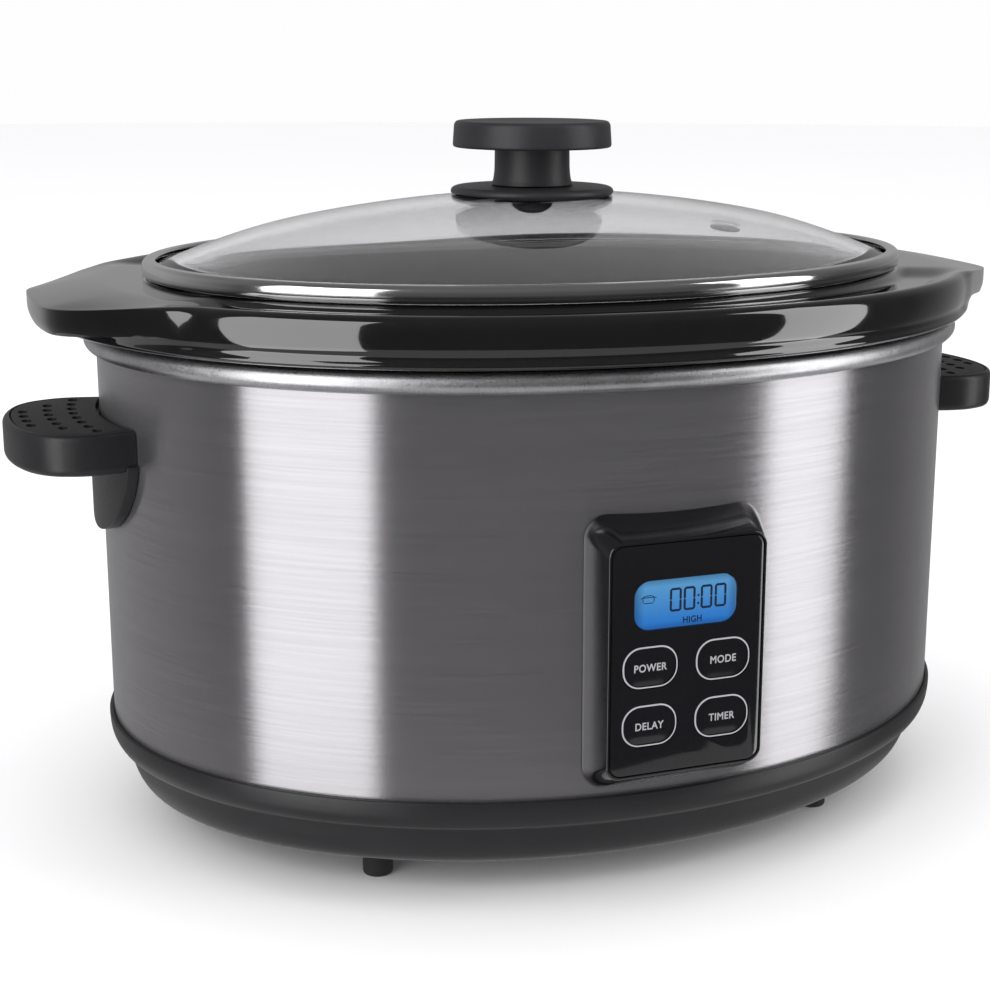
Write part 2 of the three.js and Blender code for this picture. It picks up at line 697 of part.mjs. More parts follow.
function makeCrock() {
  const inner = (z) => linerR(z) - liner.clearance - crock.wall;
  const outer = (z) => linerR(z) - liner.clearance;
  const lipR = halfDepth + crock.lipProud;
  const foot0 = liner.bottom + liner.wall + 2;
  const top = crock.lip;
  const low = top - crock.lipHeight;
  // Each row: radius, height, how far it joins in the lug (0 to 1).
  const rows = [
    [0, foot0 + 1.2, 0],
    [outer(60) - 17, foot0 + 1.2, 0],
    [outer(60) - 15, foot0, 0],
    [outer(60) - 10, foot0, 0],
    [outer(60) - 3.5, foot0 + 4.5, 0],
    [outer(62), 62, 0],
    [outer(linerTop), linerTop, 0],
    [linerTopR + 1.5, linerTop + 7, 0],
    [halfDepth - 5, low - 0.2, 0],
    [halfDepth + 4, low - 0.2, 0],
    [halfDepth + 6, low + 1.8, 0.3],
    [lipR - 1.4, low + 3.4, 0.68],
    [lipR, low + 5.8, 0.88],
    [lipR + 0.4, low + 10, 1],
    [lipR - 0.1, top - 2, 1],
    [lipR - 1.3, top - 0.5, 0.94],
    [lipR - 3, top, 0.88],
    [lipR - 5.4, top - 0.6, 0.4],
    [lipR - 9, top - 2.6, 0],
    [lid.halfDepth + 3, top - 3, 0],
    [lid.halfDepth - 0.2, top - 0.9, 0],
    [lid.halfDepth - 1.2, top - 0.2, 0],
    [inner(linerTop) + 0.4, top - 0.2, 0],
    [inner(linerTop) - 0.5, top - 1.6, 0],
    [inner(linerTop), linerTop, 0],
    [inner(66), 66, 0],
    [inner(66) - 3.4, foot0 + 9.4, 0],
    [inner(66) - 12, foot0 + 6, 0],
    [0, foot0 + 6, 0],
  ];
  const geometry = lathe(rows.map(([r, z]) => [r, z]), SEGMENTS);
  const root = 73.6 / 130;
  moved(geometry, (x, y, z) => {
    const r = Math.hypot(x, y);
    if (r < 1e-6) return [x, y, z];
    const joins = weightAt(rows, r, z);
    const wide = x * (1 + crockOut(r, z) / r);
    const near = 1 - Math.abs(y) / (root * r);
    if (near <= 0) return [wide, y, z];
    const tip = Math.sign(x) * lugX(y, r / 130);
    // The lug's top slopes gently down to its tip and its gutter fills in.
    const filled = r > lid.halfDepth && z > top - 4 ? mix(z, top - 0.4, near * 4) : z;
    const sink = joins * Math.min(1, near * 1.6) * (z > low + 6 ? 4 : -1.5);
    return [mix(wide, tip, joins * Math.min(1, near * 8)), y, filled - sink];
  });
  add("crock", solid(geometry), glaze);
}

// How far the profile row nearest to a point joins in the lug.
function weightAt(rows, r, z) {
  const row = rows.reduce((best, one) => {
    const far = Math.hypot(one[0] - r, one[1] - z);
    return far < best.far ? { far, w: one[2] } : best;
  }, { far: Infinity, w: 0 });
  return row.w;
}

// ---- Lid ----
const domeZ = (r) => lidApex - lid.rise * (r / (lid.halfDepth - 6.6)) ** 1.8;
const domeSteps = [0, 10, 20, 30, 42, 56, 70, 84].map((at) => [at, domeZ(at)]);
const vent = { x: 92, y: 30, hole: 4.3 };

function makeLid() {
  const r = lid.halfDepth;
  const tin = 0.9;
  add(
    "lid_rim",
    oval([
      [r - 0.8, bandBottom],
      [r, bandBottom + 1],
      [r, bandTop - 1.4],
      [r - 1.2, bandTop],
      [r - 4.4, bandTop],
      [r - 5, bandTop - tin],
      [r - 2, bandTop - tin],
      [r - tin, bandTop - 1.8],
      [r - tin, bandBottom + tin],
      [r - 5, bandBottom + tin],
      [r - 5, bandBottom],
    ], lidOut),
    steel,
  );
  const edge = r - tin - gap;
  const seat = bandBottom + tin + gap;
  const topEdge = bandTop - tin - gap;
  const shape = [
    ...domeSteps,
    [edge - 4.4, topEdge],
    [edge - 1.2, topEdge],
    [edge, topEdge - 1],
    [edge, seat],
    [edge - 4.4, seat],
    ...domeSteps.slice(1).reverse().map(([at, z]) => [at - 0.3, z - lid.glass]),
    [0, lidApex - lid.glass],
  ];
  let glassPane = oval(shape, lidOut);
  glassPane = glassPane.subtract(rod(3 + gap, 150, 260, "z", 16));
  const slope = ventTilt();
  const hole = rod(vent.hole, -20, 20).rotate(slope.turn).translate(slope.at);
  add("lid_glass", glassPane.subtract(hole), glass);

  const half = lid.glass / 2 + 0.9;
  const grommet = turned([
    [1.6, -half - 0.9],
    [5.6, -half - 0.9],
    [6, -half],
    [vent.hole - gap, -half],
    [vent.hole - gap, half],
    [6, half],
    [5.6, half + 0.9],
    [1.6, half + 0.9],
  ], 12);
  add("vent_grommet", grommet.rotate(slope.turn).translate(slope.at), zinc);
}

// Short half-axis of the lid's oval that passes through a point of the plan.
function lidRadius(x, y) {
  let low = 30;
  let high = lid.halfDepth;
  for (let i = 0; i < 20; i++) {
    const r = (low + high) / 2;
    if ((x / (r + lidOut(r))) ** 2 + (y / r) ** 2 > 1) low = r;
    else high = r;
  }
  return low;
}

// Where the vent sits: middle of the glass and the tilt of the dome there.
function ventTilt() {
  const lift = 0.5;
  const z = (x, y) => domeZ(lidRadius(x, y));
  const dx = (z(vent.x + lift, vent.y) - z(vent.x - lift, vent.y)) / (2 * lift);
  const dy = (z(vent.x, vent.y + lift) - z(vent.x, vent.y - lift)) / (2 * lift);
  const degrees = 180 / Math.PI;
  const turn = [Math.atan(dy) * degrees, -Math.atan(dx) * degrees, 0];
  return { turn, at: [vent.x, vent.y, z(vent.x, vent.y) - lid.glass / 2] };
}

function makeKnob() {
  const flangeTop = lidApex + 1.6;
  const rim = domeZ(knob.flange) + gap;
  const discZ = knob.top - knob.height;
  const bore = 3 + gap;
  add(
    "knob",
    turned([
      [bore, flangeTop + gap],
      [knob.neck + 0.8, flangeTop + gap],
      [knob.neck - 0.2, flangeTop + 4],
      [knob.neck - 0.4, discZ],
      [knob.disc - 0.4, discZ],
      [knob.disc, discZ + 0.8],
      [knob.disc - 0.4, knob.top - 1],
      [knob.disc - 1.6, knob.top],
      [knob.disc - 4, knob.top - 0.2],
      [0, knob.top - 1.4],
      [0, discZ + 4],
      [bore, discZ + 4],
    ].reverse(), 28),
    blackPlastic,
  );
  const saucer = turned([
    [bore, rim],
    [knob.flange - 1.2, rim],
    [knob.flange, rim + 1.4],
    [knob.flange - 0.3, flangeTop - 1],
    [knob.flange - 1.6, flangeTop - 0.2],
    [bore, flangeTop],
  ], 28);
  // The saucer's underside is hollowed to the dome it sits on.
  const raisedDome = domeSteps.slice(0, 5).map(([at, z]) => [at, z + gap]);
  const seatCut = oval([...raisedDome, [42, rim - 20], [0, rim - 20]], lidOut);
  add("knob_base", saucer.subtract(seatCut), blackPlastic);
  const under = lidApex - lid.glass - gap;
  add("knob_washer", turned([[bore, under - 1.6], [13.4, under - 1.6], [13.4, under - 0.8], [bore, under - 0.2]]), rubber);
  const head = under - 1.6 - gap;
  const screw = turned([
    [0, head - 3.6],
    [4, head - 3],
    [6.6, head - 1.4],
    [7.5, head],
    [3, head],
    [3, discZ + 2],
    [0, discZ + 2],
  ], 16);
  add("knob_screw", screw.subtract(crossRecess(head - 3.6, 1, 3)), zinc);
}

makeShell();
makeLiner();
makeHeater();
makeInsulation();
makeHeatShield();
makeBase();
makeFeet();
makeTies();
makePowerBoard();
makeGland();
makeSensor();
makeHandles();
makeBezel();
makeWindow();
makeKeys();
makeBoard();
makeRibbon();
makeCrock();
makeLid();
makeKnob();

export default root;
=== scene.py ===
"""Looks of an oval slow cooker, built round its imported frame.

Lengths in the making functions are millimetres in the frame's own axes:
length along X, front at -Y, up +Z, worktop at 0. Meshes are written in metres.
"""

import math

import bmesh
import bpy
from mathutils import Matrix, Vector


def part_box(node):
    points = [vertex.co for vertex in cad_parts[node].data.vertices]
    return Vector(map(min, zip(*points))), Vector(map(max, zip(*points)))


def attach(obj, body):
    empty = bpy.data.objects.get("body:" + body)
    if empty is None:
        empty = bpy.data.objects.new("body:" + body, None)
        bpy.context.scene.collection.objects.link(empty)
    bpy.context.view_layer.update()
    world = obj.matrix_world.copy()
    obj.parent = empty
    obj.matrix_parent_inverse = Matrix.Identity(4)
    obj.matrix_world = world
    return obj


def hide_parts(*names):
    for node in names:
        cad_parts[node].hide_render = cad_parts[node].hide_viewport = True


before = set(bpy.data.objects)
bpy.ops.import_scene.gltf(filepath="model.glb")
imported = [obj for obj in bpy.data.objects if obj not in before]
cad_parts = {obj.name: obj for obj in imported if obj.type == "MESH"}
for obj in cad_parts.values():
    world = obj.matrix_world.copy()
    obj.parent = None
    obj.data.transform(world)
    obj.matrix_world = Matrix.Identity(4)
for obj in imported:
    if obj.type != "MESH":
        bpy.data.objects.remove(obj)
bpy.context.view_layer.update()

bl_info = {
    "name": "Oval Slow Cooker",
    "version": (1, 0, 0),
    "blender": (4, 5, 0),
    "location": "3D View > Sidebar > Cooker",
    "description": "Builds the looks of an oval slow cooker piece by piece",
    "category": "Add Mesh",
}

MM = 0.001
ROUND = 240  # steps round every oval


def span(node):
    """Lowest and highest corner of a frame node, in millimetres."""
    low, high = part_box(node)
    return low * 1000, high * 1000


SHELL_LOW, SHELL_HIGH = span("outer_shell")
LINER_LOW, LINER_HIGH = span("liner")
CROCK_LOW, CROCK_HIGH = span("crock")
_, GLASS_HIGH = span("lid_glass")
RIM_LOW, RIM_HIGH = span("lid_rim")
KNOB_LOW, KNOB_HIGH = span("knob")
SAUCER_LOW, SAUCER_HIGH = span("knob_base")
BASE_LOW, _ = span("base_housing")
FOOT_LOW, FOOT_HIGH = span("foot_front_right")
PANEL_LOW, PANEL_HIGH = span("panel_bezel")
HANDLE_LOW, HANDLE_HIGH = span("right_handle")
GLAND_LOW, GLAND_HIGH = span("cord_gland")

HALF_DEPTH = SHELL_HIGH.y
SHELL_STRETCH = SHELL_HIGH.x - HALF_DEPTH
LID_DEPTH = RIM_HIGH.y
LID_STRETCH = RIM_HIGH.x - LID_DEPTH
LINER_TOP = SHELL_HIGH.z - 5
LINER_TOP_R = HALF_DEPTH - 17
APEX = GLASS_HIGH.z
GLASS_THICK = 3.4
FACE = PANEL_LOW.y
PANEL_Z = (PANEL_LOW.z + PANEL_HIGH.z) / 2
GAP = 0.3

# ---------------------------------------------------------------- shape rules


def mix(a, b, t):
    return a + (b - a) * min(1.0, max(0.0, t))


def eased(t):
    t = min(1.0, max(0.0, t))
    return t * t * (3 - 2 * t)


def shell_out(r, z=0):
    return SHELL_STRETCH * min(1.0, r / 60)


def lid_out(r, z=0):
    """How far the lid's ovals are drawn out along X; it levels off without a crease."""
    t = r / 60
    soft = (t + 1) / 2 - math.hypot((t - 1) / 2, 0.09)
    return mix(LID_STRETCH * max(0.0, soft), LID_STRETCH, eased((r - 78) / 18))


def base_out(r, z=0):
    return shell_out(r) + mix(0, 3.2, (HALF_DEPTH - r) / 16) * min(1.0, r / 60)


def pan_out(r, z=0):
    """Round at the sensor's hole, oval from there outwards."""
    return SHELL_STRETCH * min(1.0, max(0.0, (r - 8) / 52))


def no_out(r, z=0):
    return 0.0


def crock_out(r, z):
    mouth = LID_DEPTH - 8
    rim = mix(SHELL_STRETCH, LID_STRETCH, (r - mouth) / 8)
    high = mix(rim, 33.5, (r - LID_DEPTH) / 20)
    if r < mouth:
        return shell_out(r)
    return mix(SHELL_STRETCH, high, (z - LINER_TOP - 8) / 6)


def liner_r(z):
    return LINER_TOP_R - 6.5 * (LINER_TOP - z) / (LINER_TOP - LINER_LOW.z - 13)


def dome_z(r):
    return APEX - 22.5 * (r / (LID_DEPTH - 6.6)) ** 1.8


def lid_radius(x, y):
    """Short half-axis of the lid's oval through a point of the plan."""
    low, high = 0.0, LID_DEPTH
    for _ in range(24):
        r = (low + high) / 2
        if (x / (r + lid_out(r) + 1e-9)) ** 2 + (y / (r + 1e-9)) ** 2 > 1:
            low = r
        else:
            high = r
    return low


def oval_x(r, y):
    return (r + shell_out(r)) * math.sqrt(max(0.0, 1 - (y / r) ** 2))


# ---------------------------------------------------------------- mesh making


def link(obj):
    bpy.context.scene.collection.objects.link(obj)
    return obj


def tidy(obj, sharp=34.0):
    """Closes seams, turns faces outwards and shades the mesh smooth up to an angle."""
    work = bmesh.new()
    work.from_mesh(obj.data)
    bmesh.ops.remove_doubles(work, verts=work.verts, dist=2e-7)
    bmesh.ops.dissolve_degenerate(work, edges=work.edges, dist=1e-7)
    bmesh.ops.recalc_face_normals(work, faces=work.faces)
    work.to_mesh(obj.data)
    work.free()
    obj.data.shade_smooth()
    obj.data.set_sharp_from_angle(angle=math.radians(sharp))
    return obj


def build(name, points, faces, sharp=34.0):
    """A mesh object from points in millimetres."""
    mesh = bpy.data.meshes.new(name)
    mesh.from_pydata([[c * MM for c in p] for p in points], [], faces)
    return tidy(link(bpy.data.objects.new(name, mesh)), sharp)


def baked(obj):
    """Turns an object's modifiers into plain mesh."""
    bpy.context.view_layer.update()
    graph = bpy.context.evaluated_depsgraph_get()
    mesh = bpy.data.meshes.new_from_object(obj.evaluated_get(graph))
    obj.modifiers.clear()
    obj.data = mesh
    return obj


def carve(obj, *tools, how="DIFFERENCE", sharp=34.0):
    """Cuts tools out of obj, or joins them to it; the tools are used up."""
    for tool in tools:
        step = obj.modifiers.new("cut", "BOOLEAN")
        step.operation = how
        step.solver = "EXACT"
        step.object = tool
    baked(obj)
    for tool in tools:
        bpy.data.objects.remove(tool)
    if len(obj.data.polygons) < 4:
        raise RuntimeError(f"{obj.name}: the cut left no shape")
    return tidy(obj, sharp)


def moved(obj, matrix):
    """Moves the mesh itself; the matrix is in metres."""
    obj.data.transform(matrix)
    return obj


def shifted(obj, x=0.0, y=0.0, z=0.0):
    return moved(obj, Matrix.Translation((x * MM, y * MM, z * MM)))


def filleted(corners, closed, steps=6):
    """Corners (r, z, fillet, extra...) drawn as a fine line with rounded corners."""
    line = []
    count = len(corners)
    for i, corner in enumerate(corners):
        size = corner[2]
        here = Vector((corner[0], corner[1], *corner[3:], 0))
        if size <= 0 or (not closed and i in (0, count - 1)):
            line.append(here)
            continue
        ends = []
        for other in (corners[i - 1], corners[(i + 1) % count]):
            there = Vector((other[0], other[1], *other[3:], 0))
            long = math.hypot(there[0] - here[0], there[1] - here[1])
            ends.append(here.lerp(there, min(size / max(long, 1e-6), 0.46)))
        for k in range(steps + 1):
            t = k / steps
            first = ends[0].lerp(here, t)
            line.append(first.lerp(here.lerp(ends[1], t), t))
    return line


def turn(name, corners, out=no_out, place=None, around=ROUND, sharp=34.0, steps=6):
    """A profile turned about Z and drawn out along X; its seam is at the back."""
    closed = corners[0][0] > 0 or corners[-1][0] > 0
    line = filleted(corners, closed, steps)
    points, rows = [], []
    for spot in line:
        r, z = spot[0], spot[1]
        if r < 1e-6:
            rows.append([len(points)])
            points.append((0, 0, z))
            continue
        rows.append(list(range(len(points), len(points) + around)))
        for k in range(around):
            angle = math.pi / 2 + 2 * math.pi * k / around
            x, y = r * math.cos(angle), r * math.sin(angle)
            if place:
                points.append(place(x, y, r, z, spot[2]))
            else:
                points.append((x * (1 + out(r, z) / r), y, z))
    pairs = list(zip(rows, rows[1:]))
    if closed:
        pairs.append((rows[-1], rows[0]))
    return build(name, points, joined_rows(pairs, around), sharp)


def joined_rows(pairs, around):
    faces = []
    for a, b in pairs:
        for k in range(around):
            n = (k + 1) % around
            if len(a) == 1 and len(b) == 1:
                break
            if len(a) == 1:
                faces.append((a[0], b[k], b[n]))
            elif len(b) == 1:
                faces.append((a[k], b[0], a[n]))
            else:
                faces.append((a[k], b[k], b[n], a[n]))
    return faces


def loft(name, rings, sharp=34.0):
    """Rings of points joined in order and closed at both ends."""
    around = len(rings[0])
    points = [p for ring in rings for p in ring]
    rows = [list(range(i * around, (i + 1) * around)) for i in range(len(rings))]
    faces = joined_rows(list(zip(rows, rows[1:])), around)
    faces.append(rows[0][::-1])
    faces.append(rows[-1])
    return build(name, points, faces, sharp)


def rounded(width, height, corner, steps=9):
    """Outline of a rectangle with round corners, as (across, up) pairs."""
    x, y = width / 2 - corner, height / 2 - corner
    outline = []
    for i, (sx, sy) in enumerate(((1, 1), (-1, 1), (-1, -1), (1, -1))):
        for k in range(steps + 1):
            angle = (i + k / steps) * math.pi / 2
            outline.append((sx * x + corner * math.cos(angle), sy * y + corner * math.sin(angle)))
    return outline


def upright(outline, y, x0=0.0, z0=0.0):
    """An outline stood up at depth y, facing the front."""
    return [(x0 + x, y, z0 + z) for x, z in outline]


def slab(name, outline, y0, y1, x0=0.0, z0=0.0):
    return loft(name, [upright(outline, y0, x0, z0), upright(outline, y1, x0, z0)])


def block(name, low, high):
    ring = [(low[0], low[1]), (high[0], low[1]), (high[0], high[1]), (low[0], high[1])]
    return loft(name, [[(x, y, z) for x, y in ring] for z in (low[2], high[2])])


def rod(name, radius, z0, z1, around=40):
    return turn(name, [(0, z0, 0), (radius, z0, 0), (radius, z1, 0), (0, z1, 0)], around=around)


def oval_solid(name, r, z0=-20.0, z1=300.0):
    return turn(name, [(0, z0, 0), (r, z0, 0), (r, z1, 0), (0, z1, 0)], shell_out)


def curve_points(start, bends, steps):
    """A line of cubic bends: each bend is (pull out, pull in, end), or (end,) if straight."""
    line = [start]
    for bend in bends:
        here = line[-1]
        if len(bend) == 1:
            line.append(bend[0])
            continue
        a, b, c = bend
        for k in range(1, steps + 1):
            t = k / steps
            u = 1 - t
            weights = (u**3, 3 * u * u * t, 3 * u * t * t, t**3)
            spots = (here, a, b, c)
            line.append(tuple(sum(w * s[i] for w, s in zip(weights, spots)) for i in (0, 1)))
    return line


# ---------------------------------------------------------------- node trees


def node_maker(tree):
    """A function that adds a node to the tree, sets it up and wires its inputs."""

    def add(kind, wires=None, **settings):
        node = tree.nodes.new(kind)
        for key, value in settings.items():
            setattr(node, key, value)
        for socket, source in (wires or {}).items():
            if isinstance(source, bpy.types.NodeSocket):
                tree.links.new(source, node.inputs[socket])
            else:
                node.inputs[socket].default_value = source
        return node

    return add


def node_tree(name, sizes):
    """An empty geometry tree with named inputs; returns the tree and a wiring helper."""
    tree = bpy.data.node_groups.new(name, "GeometryNodeTree")
    face = tree.interface
    face.new_socket("Geometry", in_out="INPUT", socket_type="NodeSocketGeometry")
    for label, kind in sizes:
        face.new_socket(label, in_out="INPUT", socket_type=f"NodeSocket{kind}")
    face.new_socket("Geometry", in_out="OUTPUT", socket_type="NodeSocketGeometry")
    tree.is_modifier = True
    given = tree.nodes.new("NodeGroupInput")
    return tree, given.outputs, node_maker(tree)


def closing(add, geometry, finish):
    """Ends a tree: instances made real, then the finish."""
    real = add("GeometryNodeRealizeInstances", {"Geometry": geometry})
    coat = add("GeometryNodeSetMaterial", {"Geometry": real.outputs[0], "Material": finish})
    return add("NodeGroupOutput", {"Geometry": coat.outputs[0]})


def grown(name, tree, values, start=None):
    """Runs a tree on an object and keeps the result as plain mesh."""
    obj = start or link(bpy.data.objects.new(name, bpy.data.meshes.new(name)))
    step = obj.modifiers.new("grow", "NODES")
    step.node_group = tree
    for item in tree.interface.items_tree:
        if item.item_type == "SOCKET" and item.in_out == "INPUT" and item.name in values:
            step[item.identifier] = values[item.name]
    baked(obj)
    if not obj.data.polygons:
        raise RuntimeError(f"{name}: the node tree made no faces")
    return tidy(obj)


def corner_tree():
    """One shape set at the four corners of a rectangle."""
    sizes = [("Length", "Float"), ("Depth", "Float"), ("Shape", "Object"), ("Finish", "Material")]
    tree, given, add = node_tree("four_corners", sizes)
    grid = add(
        "GeometryNodeMeshGrid",
        {
            "Size X": given["Length"],
            "Size Y": given["Depth"],
            "Vertices X": 2,
            "Vertices Y": 2,
        },
    )
    shape = add("GeometryNodeObjectInfo", {"Object": given["Shape"]})
    spread = add(
        "GeometryNodeInstanceOnPoints",
        {"Points": grid.outputs["Mesh"], "Instance": shape.outputs["Geometry"]},
    )
    closing(add, spread.outputs[0], given["Finish"])
    return tree


def at_corners(name, shape, x, y, finish):
    """Copies of a shape at the corners (+-x, +-y); the shape is used up."""
    values = {"Length": 2 * x * MM, "Depth": 2 * y * MM, "Shape": shape, "Finish": finish}
    made = grown(name, corner_tree(), values)
    bpy.data.objects.remove(shape)
    return made


def slot_tree():
    """A row of equal bars, for cutting vent slots."""
    sizes = [
        ("Count", "Int"),
        ("Pitch", "Float"),
        ("Bar", "Vector"),
        ("First", "Vector"),
        ("Finish", "Material"),
    ]
    tree, given, add = node_tree("slot_row", sizes)
    pitch = add("ShaderNodeCombineXYZ", {"Y": given["Pitch"]})
    row = add(
        "GeometryNodeMeshLine",
        {"Count": given["Count"], "Start Location": given["First"], "Offset": pitch.outputs[0]},
    )
    bar = add("GeometryNodeMeshCube", {"Size": given["Bar"]})
    spread = add(
        "GeometryNodeInstanceOnPoints",
        {"Points": row.outputs[0], "Instance": bar.outputs["Mesh"]},
    )
    closing(add, spread.outputs[0], given["Finish"])
    return tree


def bead_tree():
    """A round bead that follows an oval path."""
    sizes = [
        ("Half Length", "Float"),
        ("Half Depth", "Float"),
        ("Height", "Float"),
        ("Radius", "Float"),
        ("Finish", "Material"),
    ]
    tree, given, add = node_tree("oval_bead", sizes)
    ring = add("GeometryNodeCurvePrimitiveCircle", {"Resolution": ROUND, "Radius": 1.0})
    place = add("GeometryNodeInputPosition")
    reach = add(
        "ShaderNodeCombineXYZ", {"X": given["Half Length"], "Y": given["Half Depth"], "Z": 1.0}
    )
    drawn = add("ShaderNodeVectorMath", operation="MULTIPLY")
    tree.links.new(place.outputs[0], drawn.inputs[0])
    tree.links.new(reach.outputs[0], drawn.inputs[1])
    lift = add("ShaderNodeCombineXYZ", {"Z": given["Height"]})
    path = add(
        "GeometryNodeSetPosition",
        {
            "Geometry": ring.outputs[0],
            "Position": drawn.outputs[0],
            "Offset": lift.outputs[0],
        },
    )
    section = add(
        "GeometryNodeCurvePrimitiveCircle", {"Resolution": 28, "Radius": given["Radius"]}
    )
    wire = add(
        "GeometryNodeCurveToMesh",
        {"Curve": path.outputs[0], "Profile Curve": section.outputs[0]},
    )
    closing(add, wire.outputs[0], given["Finish"])
    return tree


def perforate_tree(rows):
    """Oval holes in curved rows, cut through whatever the tree is given."""
    sizes = [
        ("Pitch", "Float"),
        ("Hole", "Float"),
        ("Height", "Float"),
        ("Bow", "Float"),
        ("Finish", "Material"),
    ]
    tree, given, add = node_tree("perforations", sizes)
    spots = add("GeometryNodeJoinGeometry")
    for start, count in rows:
        step = add("ShaderNodeCombineXYZ", {"Y": given["Pitch"]})
        half = add("ShaderNodeMath", {0: given["Pitch"], 1: -(count - 1) / 2}, operation="MULTIPLY")
        first = add(
            "ShaderNodeCombineXYZ",
            {"X": start * MM, "Y": half.outputs[0], "Z": given["Height"]},
        )
        line = add(
            "GeometryNodeMeshLine",
            {"Count": count, "Start Location": first.outputs[0], "Offset": step.outputs[0]},
        )
        tree.links.new(line.outputs[0], spots.inputs[0])
    place = add("GeometryNodeInputPosition")
    parts = add("ShaderNodeSeparateXYZ", {0: place.outputs[0]})
    square = add("ShaderNodeMath", {0: parts.outputs[1], 1: parts.outputs[1]}, operation="MULTIPLY")
    bow = add("ShaderNodeMath", {0: square.outputs[0], 1: given["Bow"]}, operation="MULTIPLY")
    back = add("ShaderNodeMath", {0: bow.outputs[0], 1: -1.0}, operation="MULTIPLY")
    push = add("ShaderNodeCombineXYZ", {"X": back.outputs[0]})
    bowed = add(
        "GeometryNodeSetPosition", {"Geometry": spots.outputs[0], "Offset": push.outputs[0]}
    )
    tool = add(
        "GeometryNodeMeshCylinder", {"Vertices": 28, "Radius": given["Hole"], "Depth": 0.008}
    )
    spread = add(
        "GeometryNodeInstanceOnPoints",
        {
            "Points": bowed.outputs[0],
            "Instance": tool.outputs["Mesh"],
            "Scale": (0.85, 1.35, 1.0),
        },
    )
    real = add("GeometryNodeRealizeInstances", {"Geometry": spread.outputs[0]})
    cut = add("GeometryNodeMeshBoolean", operation="DIFFERENCE", solver="EXACT")
    tree.links.new(given["Geometry"], cut.inputs["Mesh 1"])
    tree.links.new(real.outputs[0], cut.inputs["Mesh 2"])
    closing(add, cut.outputs["Mesh"], given["Finish"])
    return tree


# ---------------------------------------------------------------- finishes

